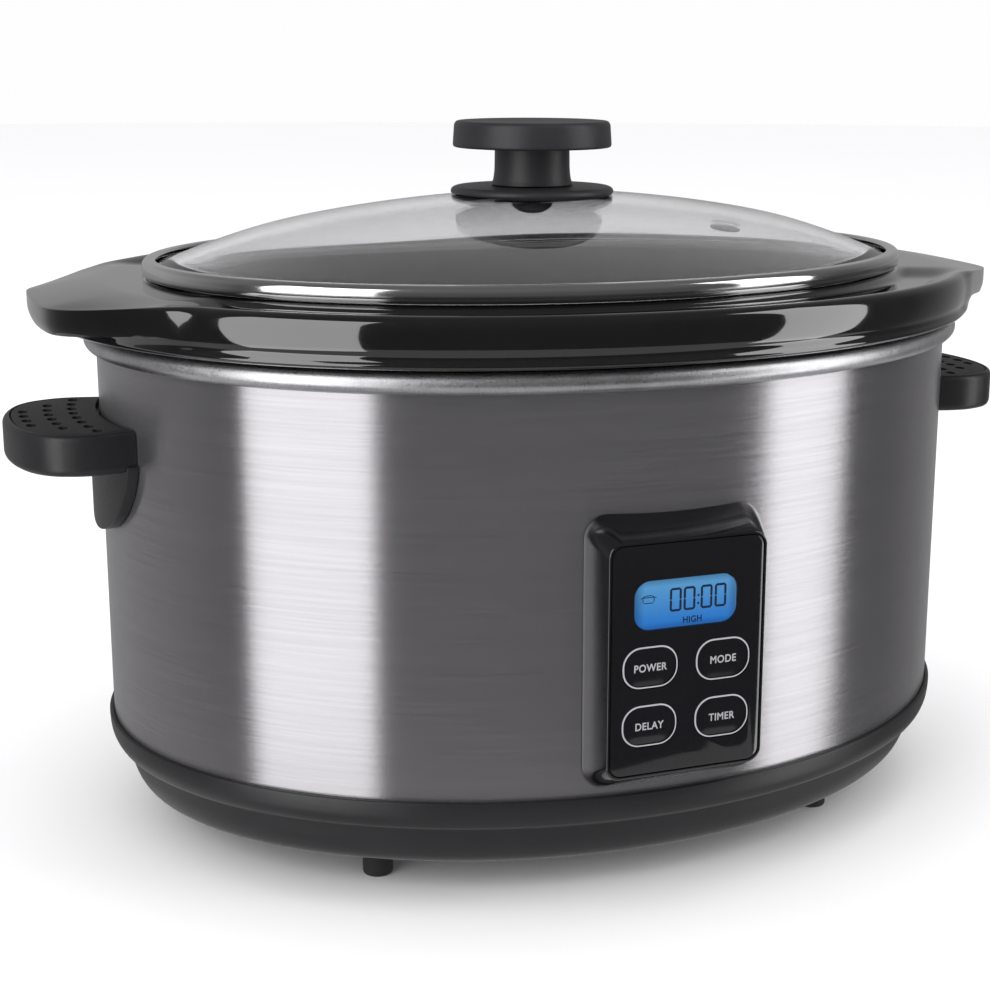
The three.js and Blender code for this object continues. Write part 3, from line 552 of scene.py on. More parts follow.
# grain and patch are pattern densities per metre along X, Y and Z.
FINISHES = {
    "brushed_steel": dict(
        tint=(0.38, 0.37, 0.385), shade=0.86, metallic=0.9, rough=(0.21, 0.27),
        grain=(60, 60, 3000), patch=(12, 12, 900), bump=0.10, brushed=0.95,
    ),
    "satin_bead": dict(
        tint=(0.74, 0.74, 0.76), shade=0.72, metallic=1, rough=(0.26, 0.46),
        grain=(1500, 1500, 1500), patch=(90, 90, 90), bump=0.3,
    ),
    "polished_steel": dict(
        tint=(0.80, 0.80, 0.81), shade=0.92, metallic=1, rough=(0.07, 0.14),
        grain=(18, 18, 1600), patch=(12, 12, 40), bump=0.04, brushed=0.35,
    ),
    "black_glaze": dict(
        tint=(0.0032, 0.0030, 0.0036), shade=0.6, rough=(0.06, 0.11), ior=1.4,
        grain=(260, 260, 260), patch=(30, 30, 30), bump=0.02, coat=1.0, coat_rough=0.03,
        coat_ior=1.75,
    ),
    "knob_plastic": dict(
        tint=(0.026, 0.024, 0.028), shade=0.7, rough=(0.38, 0.50),
        grain=(1900, 1900, 1900), patch=(60, 60, 60), bump=0.28,
    ),
    "black_moulding": dict(
        tint=(0.015, 0.014, 0.016), shade=0.75, rough=(0.32, 0.44),
        grain=(1500, 1500, 1500), patch=(40, 40, 40), bump=0.16,
    ),
    "grip_plastic": dict(
        tint=(0.020, 0.019, 0.021), shade=0.7, rough=(0.48, 0.62),
        grain=(2100, 2100, 2100), patch=(60, 60, 60), bump=0.3,
    ),
    "gloss_black": dict(
        tint=(0.0045, 0.0043, 0.0055), shade=0.7, rough=(0.07, 0.12),
        grain=(500, 500, 500), patch=(30, 30, 30), bump=0.02, coat=1.0, coat_rough=0.04,
    ),
    "key_outline": dict(
        tint=(0.48, 0.48, 0.52), shade=0.97, metallic=0.25, rough=(0.34, 0.40),
        grain=(900, 900, 900), patch=(60, 60, 60), bump=0.0,
    ),
    "lettering": dict(
        tint=(0.36, 0.36, 0.38), shade=0.85, rough=(0.40, 0.50),
        grain=(1800, 1800, 1800), patch=(200, 200, 200), bump=0.05,
    ),
    "display_ink": dict(
        tint=(0.006, 0.012, 0.04), shade=0.7, rough=(0.30, 0.38),
        grain=(1800, 1800, 1800), patch=(200, 200, 200), bump=0.03,
    ),
    "foot_rubber": dict(
        tint=(0.018, 0.018, 0.018), shade=0.7, rough=(0.66, 0.82),
        grain=(1400, 1400, 1400), patch=(80, 80, 80), bump=0.3,
    ),
    "black_rubber": dict(
        tint=(0.016, 0.016, 0.017), shade=0.7, rough=(0.55, 0.7),
        grain=(1500, 1500, 1500), patch=(80, 80, 80), bump=0.25,
    ),
    "zinc_steel": dict(
        tint=(0.60, 0.61, 0.62), shade=0.7, metallic=1, rough=(0.28, 0.46),
        grain=(420, 420, 420), patch=(70, 70, 70), bump=0.08,
    ),
    "thin_aluminium": dict(
        tint=(0.66, 0.66, 0.67), shade=0.86, metallic=1, rough=(0.26, 0.38),
        grain=(30, 30, 1500), patch=(10, 10, 60), bump=0.1,
    ),
    "mica": dict(
        tint=(0.42, 0.32, 0.19), shade=0.62, rough=(0.35, 0.7),
        grain=(700, 700, 300), patch=(60, 60, 60), bump=0.2,
    ),
    "fibre_wool": dict(
        tint=(0.70, 0.66, 0.55), shade=0.7, rough=(0.9, 1.0),
        grain=(900, 900, 250), patch=(120, 120, 120), bump=0.9,
    ),
    "circuit_board": dict(
        tint=(0.02, 0.12, 0.045), shade=0.6, rough=(0.3, 0.5),
        grain=(800, 800, 800), patch=(160, 160, 160), bump=0.1,
    ),
    "relay_case": dict(
        tint=(0.012, 0.012, 0.015), shade=0.7, rough=(0.25, 0.4),
        grain=(1200, 1200, 1200), patch=(60, 60, 60), bump=0.08,
    ),
    "transformer_core": dict(
        tint=(0.36, 0.26, 0.10), shade=0.5, rough=(0.35, 0.6),
        grain=(60, 60, 1800), patch=(80, 80, 80), bump=0.3,
    ),
    "pale_plastic": dict(
        tint=(0.74, 0.71, 0.64), shade=0.88, rough=(0.45, 0.6),
        grain=(1500, 1500, 1500), patch=(60, 60, 60), bump=0.1,
    ),
    "lamp_box": dict(
        tint=(0.80, 0.82, 0.85), shade=0.92, rough=(0.4, 0.6),
        grain=(900, 900, 900), patch=(90, 90, 90), bump=0.05,
    ),
}
USER_TINTS = (
    "brushed_steel",
    "satin_bead",
    "polished_steel",
    "black_glaze",
    "knob_plastic",
    "black_moulding",
    "grip_plastic",
    "gloss_black",
    "lettering",
)


def shader(name):
    """A new material with its nodes cleared; returns it, its main shader and a helper."""
    made = bpy.data.materials.new(name)
    made.use_nodes = True
    tree = made.node_tree
    tree.nodes.clear()
    main = tree.nodes.new("ShaderNodeBsdfPrincipled")
    out = tree.nodes.new("ShaderNodeOutputMaterial")
    tree.links.new(main.outputs[0], out.inputs["Surface"])
    return made, main, node_maker(tree), tree.links.new


def grain_noise(add, place, density, detail):
    spread = add("ShaderNodeMapping", {"Vector": place, "Scale": density})
    return add(
        "ShaderNodeTexNoise",
        {"Vector": spread.outputs[0], "Scale": 1.0, "Detail": detail, "Roughness": 0.6},
    ).outputs[0]


def ranged(add, value, low, high, inner=(0.3, 0.7)):
    return add(
        "ShaderNodeMapRange",
        {"Value": value, "From Min": inner[0], "From Max": inner[1], "To Min": low, "To Max": high},
    ).outputs[0]


def finish(slot, colours=None):
    """The finish of that name, made once from its table."""
    made = bpy.data.materials.get(f"{slot}_finish")
    if made:
        return made
    if slot == "clear_glass":
        return glass_finish()
    if slot == "lcd_blue":
        return screen_finish(colours)
    recipe = FINISHES[slot]
    tint = tuple(getattr(colours, slot)) if slot in USER_TINTS else recipe["tint"]
    made, main, add, wire = shader(f"{slot}_finish")
    place = add("ShaderNodeTexCoord").outputs["Object"]
    fine = grain_noise(add, place, recipe["grain"], 4.0)
    broad = grain_noise(add, place, recipe["patch"], 2.0)
    both = add("ShaderNodeMath", {0: fine, 1: broad}, operation="ADD").outputs[0]
    amount = ranged(add, both, 0.0, 1.0, (0.72, 1.28))
    colour = add("ShaderNodeMix", {"Factor": amount}, data_type="RGBA")
    colour.inputs["A"].default_value = (*(c * recipe["shade"] for c in tint), 1)
    colour.inputs["B"].default_value = (*tint, 1)
    wire(colour.outputs["Result"], main.inputs["Base Color"])
    rough = ranged(add, fine, *recipe["rough"])
    wire(rough, main.inputs["Roughness"])
    relief = add(
        "ShaderNodeBump", {"Height": fine, "Strength": recipe["bump"], "Distance": 0.0002}
    )
    wire(relief.outputs[0], main.inputs["Normal"])
    main.inputs["Metallic"].default_value = recipe.get("metallic", 0)
    main.inputs["Coat Weight"].default_value = recipe.get("coat", 0.0)
    main.inputs["Coat Roughness"].default_value = recipe.get("coat_rough", 0.1)
    main.inputs["Coat IOR"].default_value = recipe.get("coat_ior", 1.5)
    main.inputs["IOR"].default_value = recipe.get("ior", 1.5)
    if recipe.get("brushed"):
        main.inputs["Anisotropic"].default_value = recipe["brushed"]
        main.inputs["Anisotropic Rotation"].default_value = 0.25
        lay = add("ShaderNodeTangent", direction_type="RADIAL", axis="Z")
        wire(lay.outputs[0], main.inputs["Tangent"])
    return made


def glass_finish():
    made, main, add, wire = shader("clear_glass_finish")
    place = add("ShaderNodeTexCoord").outputs["Object"]
    smear = grain_noise(add, place, (34, 34, 34), 5.0)
    tint = add("ShaderNodeMix", {"Factor": smear}, data_type="RGBA")
    tint.inputs["A"].default_value = (0.97, 0.97, 0.98, 1)
    tint.inputs["B"].default_value = (0.99, 0.985, 0.995, 1)
    wire(tint.outputs["Result"], main.inputs["Base Color"])
    wire(ranged(add, smear, 0.0, 0.035), main.inputs["Roughness"])
    main.inputs["Transmission Weight"].default_value = 1.0
    main.inputs["IOR"].default_value = 1.48
    return made


def screen_finish(colours):
    """A lit blue display: paler at the top, with painted shade darkening it towards its edges, where
    it sits in its recess.
    """
    made, main, add, wire = shader("lcd_blue_finish")
    place = add("ShaderNodeTexCoord").outputs["Object"]
    parts = add("ShaderNodeSeparateXYZ", {0: place})
    low = (DISPLAY["z"] - DISPLAY["height"] / 2) * MM
    high = (DISPLAY["z"] + DISPLAY["height"] / 2) * MM
    up = ranged(add, parts.outputs[2], 0.0, 1.0, (low, high))
    glow = add("ShaderNodeMix", {"Factor": up}, data_type="RGBA")
    glow.inputs["A"].default_value = (*colours.screen_low, 1)
    glow.inputs["B"].default_value = (*colours.screen_high, 1)
    cells = grain_noise(add, place, (2600, 2600, 2600), 1.0)
    speck = ranged(add, cells, 0.94, 1.04)
    across = add("ShaderNodeMath", {0: parts.outputs[0], 1: DISPLAY["x"] * MM}, operation="SUBTRACT")
    side = add("ShaderNodeMath", {0: across.outputs[0]}, operation="ABSOLUTE")
    middle = add("ShaderNodeMath", {0: parts.outputs[2], 1: DISPLAY["z"] * MM}, operation="SUBTRACT")
    rise = add("ShaderNodeMath", {0: middle.outputs[0]}, operation="ABSOLUTE")
    # painted shade: the glow is dimmed towards the display's edges, standing in for the shade of the
    # recess round it
    painted_shade_x = ranged(add, side.outputs[0], 1.0, 0.42, (0.0138, 0.0174))
    painted_shade_z = ranged(add, rise.outputs[0], 1.0, 0.5, (0.0056, 0.0080))
    painted_shade = add("ShaderNodeMath", {0: painted_shade_x, 1: painted_shade_z}, operation="MULTIPLY")
    level = add("ShaderNodeMath", {0: painted_shade.outputs[0], 1: speck}, operation="MULTIPLY")
    lit = add("ShaderNodeVectorMath", operation="SCALE")
    wire(glow.outputs["Result"], lit.inputs[0])
    wire(level.outputs[0], lit.inputs["Scale"])
    wire(lit.outputs[0], main.inputs["Emission Color"])
    dull = add("ShaderNodeVectorMath", {"Scale": 0.06}, operation="SCALE")
    wire(lit.outputs[0], dull.inputs[0])
    wire(dull.outputs[0], main.inputs["Base Color"])
    main.inputs["Emission Strength"].default_value = 1.0
    main.inputs["Roughness"].default_value = 0.22
    main.inputs["Coat Weight"].default_value = 0.6
    main.inputs["Coat Roughness"].default_value = 0.06
    return made


def settle(obj, body, slot, colours, nodes=()):
    """Gives a piece its finish, its body, its slot and the frame nodes it stands for."""
    if not obj.data.materials:
        obj.data.materials.append(finish(slot, colours))
    for i in range(len(obj.data.materials)):
        if obj.data.materials[i] is None:
            obj.data.materials[i] = finish(slot, colours)
    obj.name = obj.name.split(".")[0] + "_piece"
    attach(obj, body)
    if nodes:
        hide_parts(*nodes)
    return obj


# ---------------------------------------------------------------- body pieces

HANDLE_SCREW = {"y": 18.0, "z": HANDLE_HIGH.z - 6.75, "bore": 2.1}
OPENING = {"half": 24.9, "low": PANEL_LOW.z + 5.7, "high": PANEL_HIGH.z - 5.7}
TIE = {"x": 68.0, "y": 40.0}
FOOT = {
    "x": (FOOT_LOW.x + FOOT_HIGH.x) / 2,
    "y": -(FOOT_LOW.y + FOOT_HIGH.y) / 2,
    "r": (FOOT_HIGH.x - FOOT_LOW.x) / 2,
}
CORNERS = ("front_left", "front_right", "back_left", "back_right")


def side_rod(name, radius, x0, x1, y, z):
    """A bar along X."""
    made = rod(name, radius, x0, x1)
    moved(made, Matrix.Rotation(math.pi / 2, 4, "Y"))
    return shifted(made, 0, y, z)


def depth_rod(name, radius, y0, y1, x, z, around=40):
    """A bar along Y."""
    made = rod(name, radius, y0, y1, around)
    moved(made, Matrix.Rotation(-math.pi / 2, 4, "X"))
    return shifted(made, x, 0, z)


def make_shell(colours):
    r, low, high = HALF_DEPTH, SHELL_LOW.z, SHELL_HIGH.z
    corners = [
        (r, low, 0.3), (r, low + 40, 0), (r, low + 88, 0), (r, high, 0.45),
        (r - 0.8, high, 0.3), (r - 0.8, low, 0.3),
    ]
    made = turn("outer_shell", corners, shell_out)
    half = OPENING["half"]
    window = block("window", (-half, -r - 5, OPENING["low"]), (half, -r + 20, OPENING["high"]))
    bores = [
        side_rod("bore", HANDLE_SCREW["bore"], -200, 200, y, HANDLE_SCREW["z"])
        for y in (-HANDLE_SCREW["y"], HANDLE_SCREW["y"])
    ]
    carve(made, window, *bores)
    settle(made, "cooker_body", "brushed_steel", colours, ["outer_shell"])


def make_liner(sizes, colours):
    low, top, r = LINER_LOW.z, LINER_TOP, LINER_TOP_R
    foot = liner_r(low + 13)
    bead_r = HALF_DEPTH + 0.8
    bead = sizes.bead_radius / MM
    bead_z = LINER_HIGH.z - bead
    corners = [
        (5.3, low, 0.2), (foot - 14, low, 5), (foot - 3, low + 4, 4), (foot + 1, low + 13, 6),
        (r + 1, top, 4), (r + 4, top + 3, 2), (bead_r - 2, bead_z - 1.4, 0.3),
        (bead_r - 2, bead_z - 0.4, 0.3), (r + 3, top + 4, 2), (r, top, 4),
        (foot, low + 13, 6), (foot - 4, low + 4.6, 4), (foot - 14.4, low + 1, 5),
        (5.3, low + 1, 0.2),
    ]
    pan = turn("liner", corners, pan_out)
    settle(pan, "cooker_body", "thin_aluminium", colours, ["liner"])
    values = {
        "Half Length": (bead_r + SHELL_STRETCH) * MM,
        "Half Depth": bead_r * MM,
        "Height": bead_z * MM,
        "Radius": sizes.bead_radius,
        "Finish": finish("satin_bead", colours),
    }
    bead = grown("liner_bead", bead_tree(), values)
    settle(bead, "cooker_body", "satin_bead", colours)
    floor = low + 1
    corners = [
        (0, floor - 4, 0), (5, floor - 4, 0.3), (5, floor + GAP, 0.1), (7.5, floor + GAP, 0.2),
        (7.5, floor + 2, 0.5), (6.8, floor + 2.4, 0.4), (0, floor + 2.4, 0),
    ]
    sensor = turn("temperature_sensor", corners, around=64)
    settle(sensor, "cooker_body", "thin_aluminium", colours, ["temperature_sensor"])


def base_profile():
    z0 = BASE_LOW.z + 2.4
    outer = HALF_DEPTH + 1.6
    ledge = SHELL_LOW.z - GAP
    return [
        (0, z0, 0), (outer - 17, z0, 2.5), (outer - 13.2, z0 + 1.3, 2), (outer - 10.6, z0 + 3.8, 2),
        (outer - 8.4, z0 + 8, 3), (outer - 6.8, z0 + 14.6, 0.5), (outer - 4.4, z0 + 15.6, 1.2),
        (outer - 1.8, z0 + 17.0, 1.4), (outer - 0.4, z0 + 20, 2), (outer, z0 + 23.6, 1.5),
        (outer, ledge + 2, 0.5), (HALF_DEPTH + GAP, ledge + 2, 0.2), (HALF_DEPTH + GAP, ledge, 0.1),
        (HALF_DEPTH - 4.5, ledge, 0.3), (HALF_DEPTH - 5, z0 + 18, 1), (outer - 9.3, z0 + 14.6, 1),
        (outer - 10.8, z0 + 8.6, 1), (outer - 12.8, z0 + 5.2, 1), (outer - 18, z0 + 2.5, 1),
        (0, z0 + 2.5, 0),
    ]


def make_base(sizes, colours):
    z0 = BASE_LOW.z + 2.4
    floor = z0 + 2.5
    seat = z0 + 6.3
    coat = finish("black_moulding", colours)
    made = turn("base_housing", base_profile(), base_out)
    gland_z = (GLAND_LOW.z + GLAND_HIGH.z) / 2
    bosses = at_corners("bosses", rod("boss", 6.6, floor - 1, seat + 2.6), TIE["x"], TIE["y"], coat)
    mound = turn(
        "mound",
        [(0, z0 - 2.4, 0), (6.5, z0 - 2.4, 0.8), (9, z0 + 1, 0), (0, z0 + 1, 0)],
        around=64,
    )
    mounds = at_corners("mounds", mound, FOOT["x"], FOOT["y"], coat)
    boss = depth_rod("gland_boss", 8.2, HALF_DEPTH - 9, HALF_DEPTH, 0, gland_z)
    carve(made, bosses, mounds, boss, how="UNION")
    wells = at_corners("wells", rod("well", 4.8, z0 - 1, seat), TIE["x"], TIE["y"], coat)
    holes = at_corners("holes", rod("hole", 2.2, z0, seat + 9), TIE["x"], TIE["y"], coat)
    plugs = at_corners("plugs", rod("plug", 2.7, 0, 30), FOOT["x"], FOOT["y"], coat)
    bore = depth_rod("gland_bore", 5.3, 90, 130, 0, gland_z)
    values = {
        "Count": sizes.vent_slots,
        "Pitch": 7 * MM,
        "Bar": (40 * MM, 3 * MM, 15 * MM),
        "First": (0, -55 * MM, 12.5 * MM),
        "Finish": coat,
    }
    slots = grown("slots", slot_tree(), values)
    carve(made, wells, holes, plugs, bore, slots)
    settle(made, "cooker_body", "black_moulding", colours, ["base_housing"])


def make_feet(colours):
    z0 = BASE_LOW.z + 2.4
    neck = z0 - 2.4 - GAP
    corners = [
        (0, 0.5, 0), (2.6, 0.5, 0.4), (3.2, 0, 0.3), (FOOT["r"] - 0.4, 0, 0.5),
        (FOOT["r"], 0.7, 0.5), (FOOT["r"], neck, 0.4), (2.4, neck, 0.1), (2.4, z0 + 2.8, 0.1),
        (3.6, z0 + 2.8, 0.4), (1.8, z0 + 5.5, 0.5), (0, z0 + 5.5, 0),
    ]
    foot = turn("foot", corners, around=56)
    coat = finish("foot_rubber", colours)
    feet = at_corners("feet", foot, FOOT["x"], FOOT["y"], coat)
    settle(feet, "cooker_body", "foot_rubber", colours, [f"foot_{c}" for c in CORNERS])
    seat = z0 + 6.3 - GAP
    top = seat + 2.6 + 2 * GAP + 10
    corners = [
        (0, seat - 2.8, 0), (3.4, seat - 2.8, 0.3), (4.2, seat - 1.9, 0.3), (4.2, seat, 0.1),
        (1.9, seat, 0.1), (1.9, top, 0.3), (0, top, 0),
    ]
    screw = turn("screw", corners, around=48)
    carve(screw, *recess(seat - 2.8, 2.2))
    coat = finish("zinc_steel", colours)
    screws = at_corners("base_screws", screw, TIE["x"], TIE["y"], coat)
    nodes = [f"base_screw_{c}" for c in CORNERS]
    settle(screws, "cooker_body", "zinc_steel", colours, nodes)


def recess(z, size, deep=1.2):
    """Two crossed bars that cut a cross into a head facing down at z."""
    low, high = z - 0.5, z + deep
    return [
        block("bar", (-size, -0.45, low), (size, 0.45, high)),
        block("bar", (-0.45, -size, low), (0.45, size, high)),
    ]


def make_gland(colours):
    seat = HALF_DEPTH + GAP
    tip = GLAND_HIGH.y
    corners = [
        (3, HALF_DEPTH - 14, 0.3), (5, HALF_DEPTH - 14, 0.3), (5, seat, 0.1), (7, seat, 0.3),
        (7, seat + 1.8, 0.6), (5, seat + 2.6, 0.6), (4, tip, 0.5), (3, tip, 0.4),
    ]
    made = turn("cord_gland", corners, around=56)
    moved(made, Matrix.Rotation(-math.pi / 2, 4, "X"))
    shifted(made, 0, 0, (GLAND_LOW.z + GLAND_HIGH.z) / 2)
    settle(made, "cooker_body", "black_rubber", colours, ["cord_gland"])


# ---------------------------------------------------------------- handles


def handle_plan(inset, steps=22):
    """Outline of the right grip, drawn in from its edge."""
    w = 36 - inset
    tip = HANDLE_HIGH.x - inset
    near = oval_x(HALF_DEPTH, 0) - 14
    far_bend = ((near + 40, -w + 7), (tip, -w * 0.45), (tip, 0))
    return curve_points(
        (near, -w + 4),
        [
            ((near + 10, -w + 3),),
            ((near + 20, -w), (near + 24, -w - 0.5), (near + 32, -w + 3)),
            far_bend,
            ((tip, w * 0.45), (near + 40, w - 7), (near + 32, w - 3)),
            ((near + 24, w + 0.5), (near + 20, w), (near + 10, w - 3)),
            ((near, w - 4),),
        ],
        steps,
    )


def grip_plate(name, inset, z0, z1, round_low, round_high, steps=5):
    """The grip's plan as a plate with rounded edges."""
    rings = []
    for k in range(steps + 1):
        angle = k / steps * math.pi / 2
        back = round_low * (1 - math.sin(angle))
        rings.append((back, z0 + round_low * (1 - math.cos(angle))))
    for k in range(steps + 1):
        angle = k / steps * math.pi / 2
        back = round_high * (1 - math.cos(angle))
        rings.append((back, z1 - round_high * (1 - math.sin(angle))))
    made = [[(x, y, z) for x, y in handle_plan(inset + back)] for back, z in rings]
    return loft(name, made)


def tongue(name):
    """The skirt that hangs from the grip against the shell."""
    w = 34.0
    top = HANDLE_HIGH.z - 13.5 + 2
    bottom = HANDLE_LOW.z
    shape = curve_points(
        (-w, top),
        [
            ((-w + 2, top - 14), (-w * 0.6, bottom), (0, bottom)),
            ((w * 0.6, bottom), (w - 2, top - 14), (w, top)),
        ],
        26,
    )
    bar = loft(name, [[(x, y, z) for y, z in shape] for x in (120, 180)])
    ring = turn(
        "ring",
        [
            (HALF_DEPTH + GAP, 60, 0), (HALF_DEPTH + 3.6, 60, 0),
            (HALF_DEPTH + 3.6, 200, 0), (HALF_DEPTH + GAP, 200, 0),
        ],
        shell_out,
    )
    return carve(bar, ring, how="INTERSECT")


def softened(obj, width, segments=3, angle=30.0):
    """Rounds the sharp edges of a piece."""
    step = obj.modifiers.new("soften", "BEVEL")
    step.width = width * MM
    step.segments = segments
    step.limit_method = "ANGLE"
    step.angle_limit = math.radians(angle)
    baked(obj)
    return tidy(obj)


def make_handles(sizes, colours):
    top = HANDLE_HIGH.z
    bottom = top - 13.5
    deck = top - 2 - GAP
    grip = grip_plate("right_handle", 0, bottom, top, 2.6, 2.0)
    skirt = softened(tongue("skirt"), 1.4, 4)
    carve(grip, skirt, how="UNION")
    well = grip_plate("well", 2.4, deck, top + 5, 0.0, 0.0)
    bores = [
        side_rod("bore", 2.1, 100, oval_x(HALF_DEPTH, y) + 12, y, HANDLE_SCREW["z"])
        for y in (-HANDLE_SCREW["y"], HANDLE_SCREW["y"])
    ]
    carve(grip, oval_solid("against", HALF_DEPTH + GAP), well, *bores)
    pad = grip_plate("right_grip_pad", 2.4 + 1.6 * GAP, top - 2, top, 0.1, 0.5)
    carve(pad, oval_solid("against", HALF_DEPTH + GAP + 1))
    values = {
        "Pitch": 8 * MM,
        "Hole": sizes.grip_hole,
        "Height": (top - 1) * MM,
        "Bow": 4.0,
        "Finish": finish("grip_plastic", colours),
    }
    rows = [(177.5, 4), (169.5, 6), (161.5, 8)]
    pad = grown("right_grip_pad", perforate_tree(rows), values, start=pad)
    for piece, part, slot in (
        (grip, "handle", "black_moulding"),
        (pad, "grip_pad", "grip_plastic"),
    ):
        other = link(bpy.data.objects.new(f"left_{part}", piece.data.copy()))
        moved(other, Matrix.Rotation(math.pi, 4, "Z"))
        settle(piece, "cooker_body", slot, colours, [f"right_{part}"])
        settle(other, "cooker_body", slot, colours, [f"left_{part}"])


# ---------------------------------------------------------------- front panel

DISPLAY = {"x": -0.7, "z": 101.3, "width": 34.0, "height": 15.2, "corner": 5.0}
KEYS = (("power", -1, 1), ("mode", 1, 1), ("delay", -1, 0), ("timer", 1, 0))
KEY = {"width": 18.3, "height": 13.2, "corner": 6.0, "pitch_x": 24.4, "pitch_z": 18.6, "low": 63.3}
FRONT = {"w": 52.4, "h": 74.6, "corner": 4.5}


def key_spot(column, row):
    return column * KEY["pitch_x"] / 2, KEY["low"] + row * KEY["pitch_z"]


def key_hole(column, row, grow, y0, y1):
    x, z = key_spot(column, row)
    shape = rounded(KEY["width"] + 2 * grow, KEY["height"] + 2 * grow, KEY["corner"] + grow)
    return slab("hole", shape, y0, y1, x, z)


def screen_hole(grow, y0, y1):
    shape = rounded(
        DISPLAY["width"] + 2 * grow, DISPLAY["height"] + 2 * grow, DISPLAY["corner"] + grow
    )
    return slab("hole", shape, y0, y1, DISPLAY["x"], DISPLAY["z"])


def make_bezel(colours):
    w, h, corner = FRONT["w"], FRONT["h"], FRONT["corner"]
    run_x = PANEL_HIGH.x - w / 2
    run_z = (PANEL_HIGH.z - PANEL_LOW.z - h) / 2
    rings = []
    for share, back in ((-0.05, 0.0), (-0.012, 0.12), (0.02, 0.45), (0.5, 5.5), (0.93, 10.3)):
        grow_x, grow_z = run_x * share, run_z * share
        outline = rounded(w + 2 * grow_x, h + 2 * grow_z, corner + grow_x)
        rings.append(upright(outline, FACE + back, 0, PANEL_Z))
    wide = rounded(w + 2 * run_x, h + 2 * run_z, corner + run_x)
    rings.append(upright(wide, FACE + 11.3, 0, PANEL_Z))
    rings.append(upright(wide, FACE + 18, 0, PANEL_Z))
    made = loft("panel_bezel", rings)
    carve(made, oval_solid("against", HALF_DEPTH + GAP))
    tube_w = 2 * (OPENING["half"] - GAP)
    tube_h = OPENING["high"] - OPENING["low"] - 2 * GAP
    floor = FACE + 1.5
    tube = slab("tube", rounded(tube_w, tube_h, 3), floor + 0.5, -110, 0, PANEL_Z)
    carve(made, tube, how="UNION")
    hollow = slab("hollow", rounded(tube_w - 3, tube_h - 3, 2), floor + 1.8, 0, 0, PANEL_Z)
    well = slab("well", rounded(w - 1.6, h - 1.6, corner - 0.5), FACE - 5, floor, 0, PANEL_Z)
    holes = [key_hole(c, r, GAP, FACE - 1, 0) for _, c, r in KEYS]
    carve(made, hollow, well, screen_hole(1.3, FACE - 1, floor + 3), *holes)
    settle(made, "cooker_body", "gloss_black", colours, ["panel_bezel"])


def make_window(colours):
    w, h, corner = FRONT["w"] - 2.2, FRONT["h"] - 2.2, FRONT["corner"] - 0.8
    rings = []
    for back, deep in ((0.35, 0.0), (0.1, 0.1), (0.0, 0.3), (0.0, 1.2)):
        outline = rounded(w - 2 * back, h - 2 * back, corner - back)
        rings.append(upright(outline, FACE + deep, 0, PANEL_Z))
    made = loft("panel_window", rings)
    holes = [key_hole(c, r, GAP, -200, 0) for _, c, r in KEYS]
    carve(made, screen_hole(0.15, -200, 0), *holes)
    settle(made, "cooker_body", "gloss_black", colours, ["panel_window"])


def make_screen(colours):
    shape = [
        upright(
            rounded(
                DISPLAY["width"] - 2 * back, DISPLAY["height"] - 2 * back, DISPLAY["corner"] - back
            ),
            FACE + deep,
            DISPLAY["x"],
            DISPLAY["z"],
        )
        for back, deep in ((0.4, 0.15), (0.1, 0.22), (0.0, 0.4), (0.0, 3.0))
    ]
    pane = loft("lcd_display", shape)
    settle(pane, "cooker_body", "lcd_blue", colours, ["lcd_display"])
    made = merged("display_marks", screen_marks())
    made.data.materials.append(finish("display_ink", colours))
    settle(made, "cooker_body", "display_ink", colours)


def merged(name, pieces):
    """Several objects' meshes as one object; the objects are used up."""
    work = bmesh.new()
    for piece in pieces:
        work.from_mesh(piece.data)
        bpy.data.objects.remove(piece)
    mesh = bpy.data.meshes.new(name)
    work.to_mesh(mesh)
    work.free()
    mesh.materials.clear()
    return tidy(link(bpy.data.objects.new(name, mesh)))


def bar(start, end, width):
    """A thin pointed bar on the display's face, between two (across, up) points."""
    (x0, z0), (x1, z1) = start, end
    long = math.hypot(x1 - x0, z1 - z0)
    ux, uz = (x1 - x0) / long, (z1 - z0) / long
    half = width / 2
    outline = []
    for along, side in ((0, 0), (half, 1), (long - half, 1), (long, 0), (long - half, -1), (half, -1)):
        outline.append((x0 + ux * along - uz * half * side, z0 + uz * along + ux * half * side))
    return slab("bar", outline, FACE + 0.06, FACE + 0.3)


def screen_marks():
    """Four noughts with a colon, a pot and the word HIGH."""
    left = DISPLAY["x"] - DISPLAY["width"] / 2
    top = DISPLAY["z"] + DISPLAY["height"] / 2
    marks = []
    high, low = top - 3.2, top - 9.9
    middle = (high + low) / 2
    for at in (11.9, 16.5, 22.2, 26.9):
        x0, x1 = left + at, left + at + 3.2
        for start, end in (
            ((x0, high), (x1, high)), ((x0, low), (x1, low)),
            ((x0, high), (x0, middle)), ((x0, middle), (x0, low)),
            ((x1, high), (x1, middle)), ((x1, middle), (x1, low)),
        ):
            ux = -0.04 * (1 if end[0] > start[0] else 0)
            uz = -0.04 * (1 if end[1] < start[1] else 0)
            marks.append(bar((start[0] + ux, start[1] - uz), (end[0] - ux, end[1] + uz), 0.7))
    for down in (5.9, 8.4):
        marks.append(bar((left + 20.6, top - down), (left + 21.5, top - down), 0.85))
    marks.extend(pot_marks(left + 4.5, top - 5.6))
    marks.append(word("high", "HIGH", 1.95, left + 19.2, top - 13.2, FACE + 0.06, squeeze=0.9))
    return marks


def pot_marks(x, z):
    lines = [
        ((-2.6, 0.35), (-2.0, 0.6)), ((-2.0, 0.6), (2.0, 0.6)), ((2.0, 0.6), (2.6, 0.35)),
        ((-1.9, 0.65), (-1.0, 1.15)), ((-1.0, 1.15), (1.0, 1.15)), ((1.0, 1.15), (1.9, 0.65)),
        ((-1.9, 0.5), (-1.75, -1.0)), ((1.9, 0.5), (1.75, -1.0)), ((-1.6, -1.2), (1.6, -1.2)),
    ]
    return [bar((x + a, z + b), (x + c, z + d), 0.24) for (a, b), (c, d) in lines]


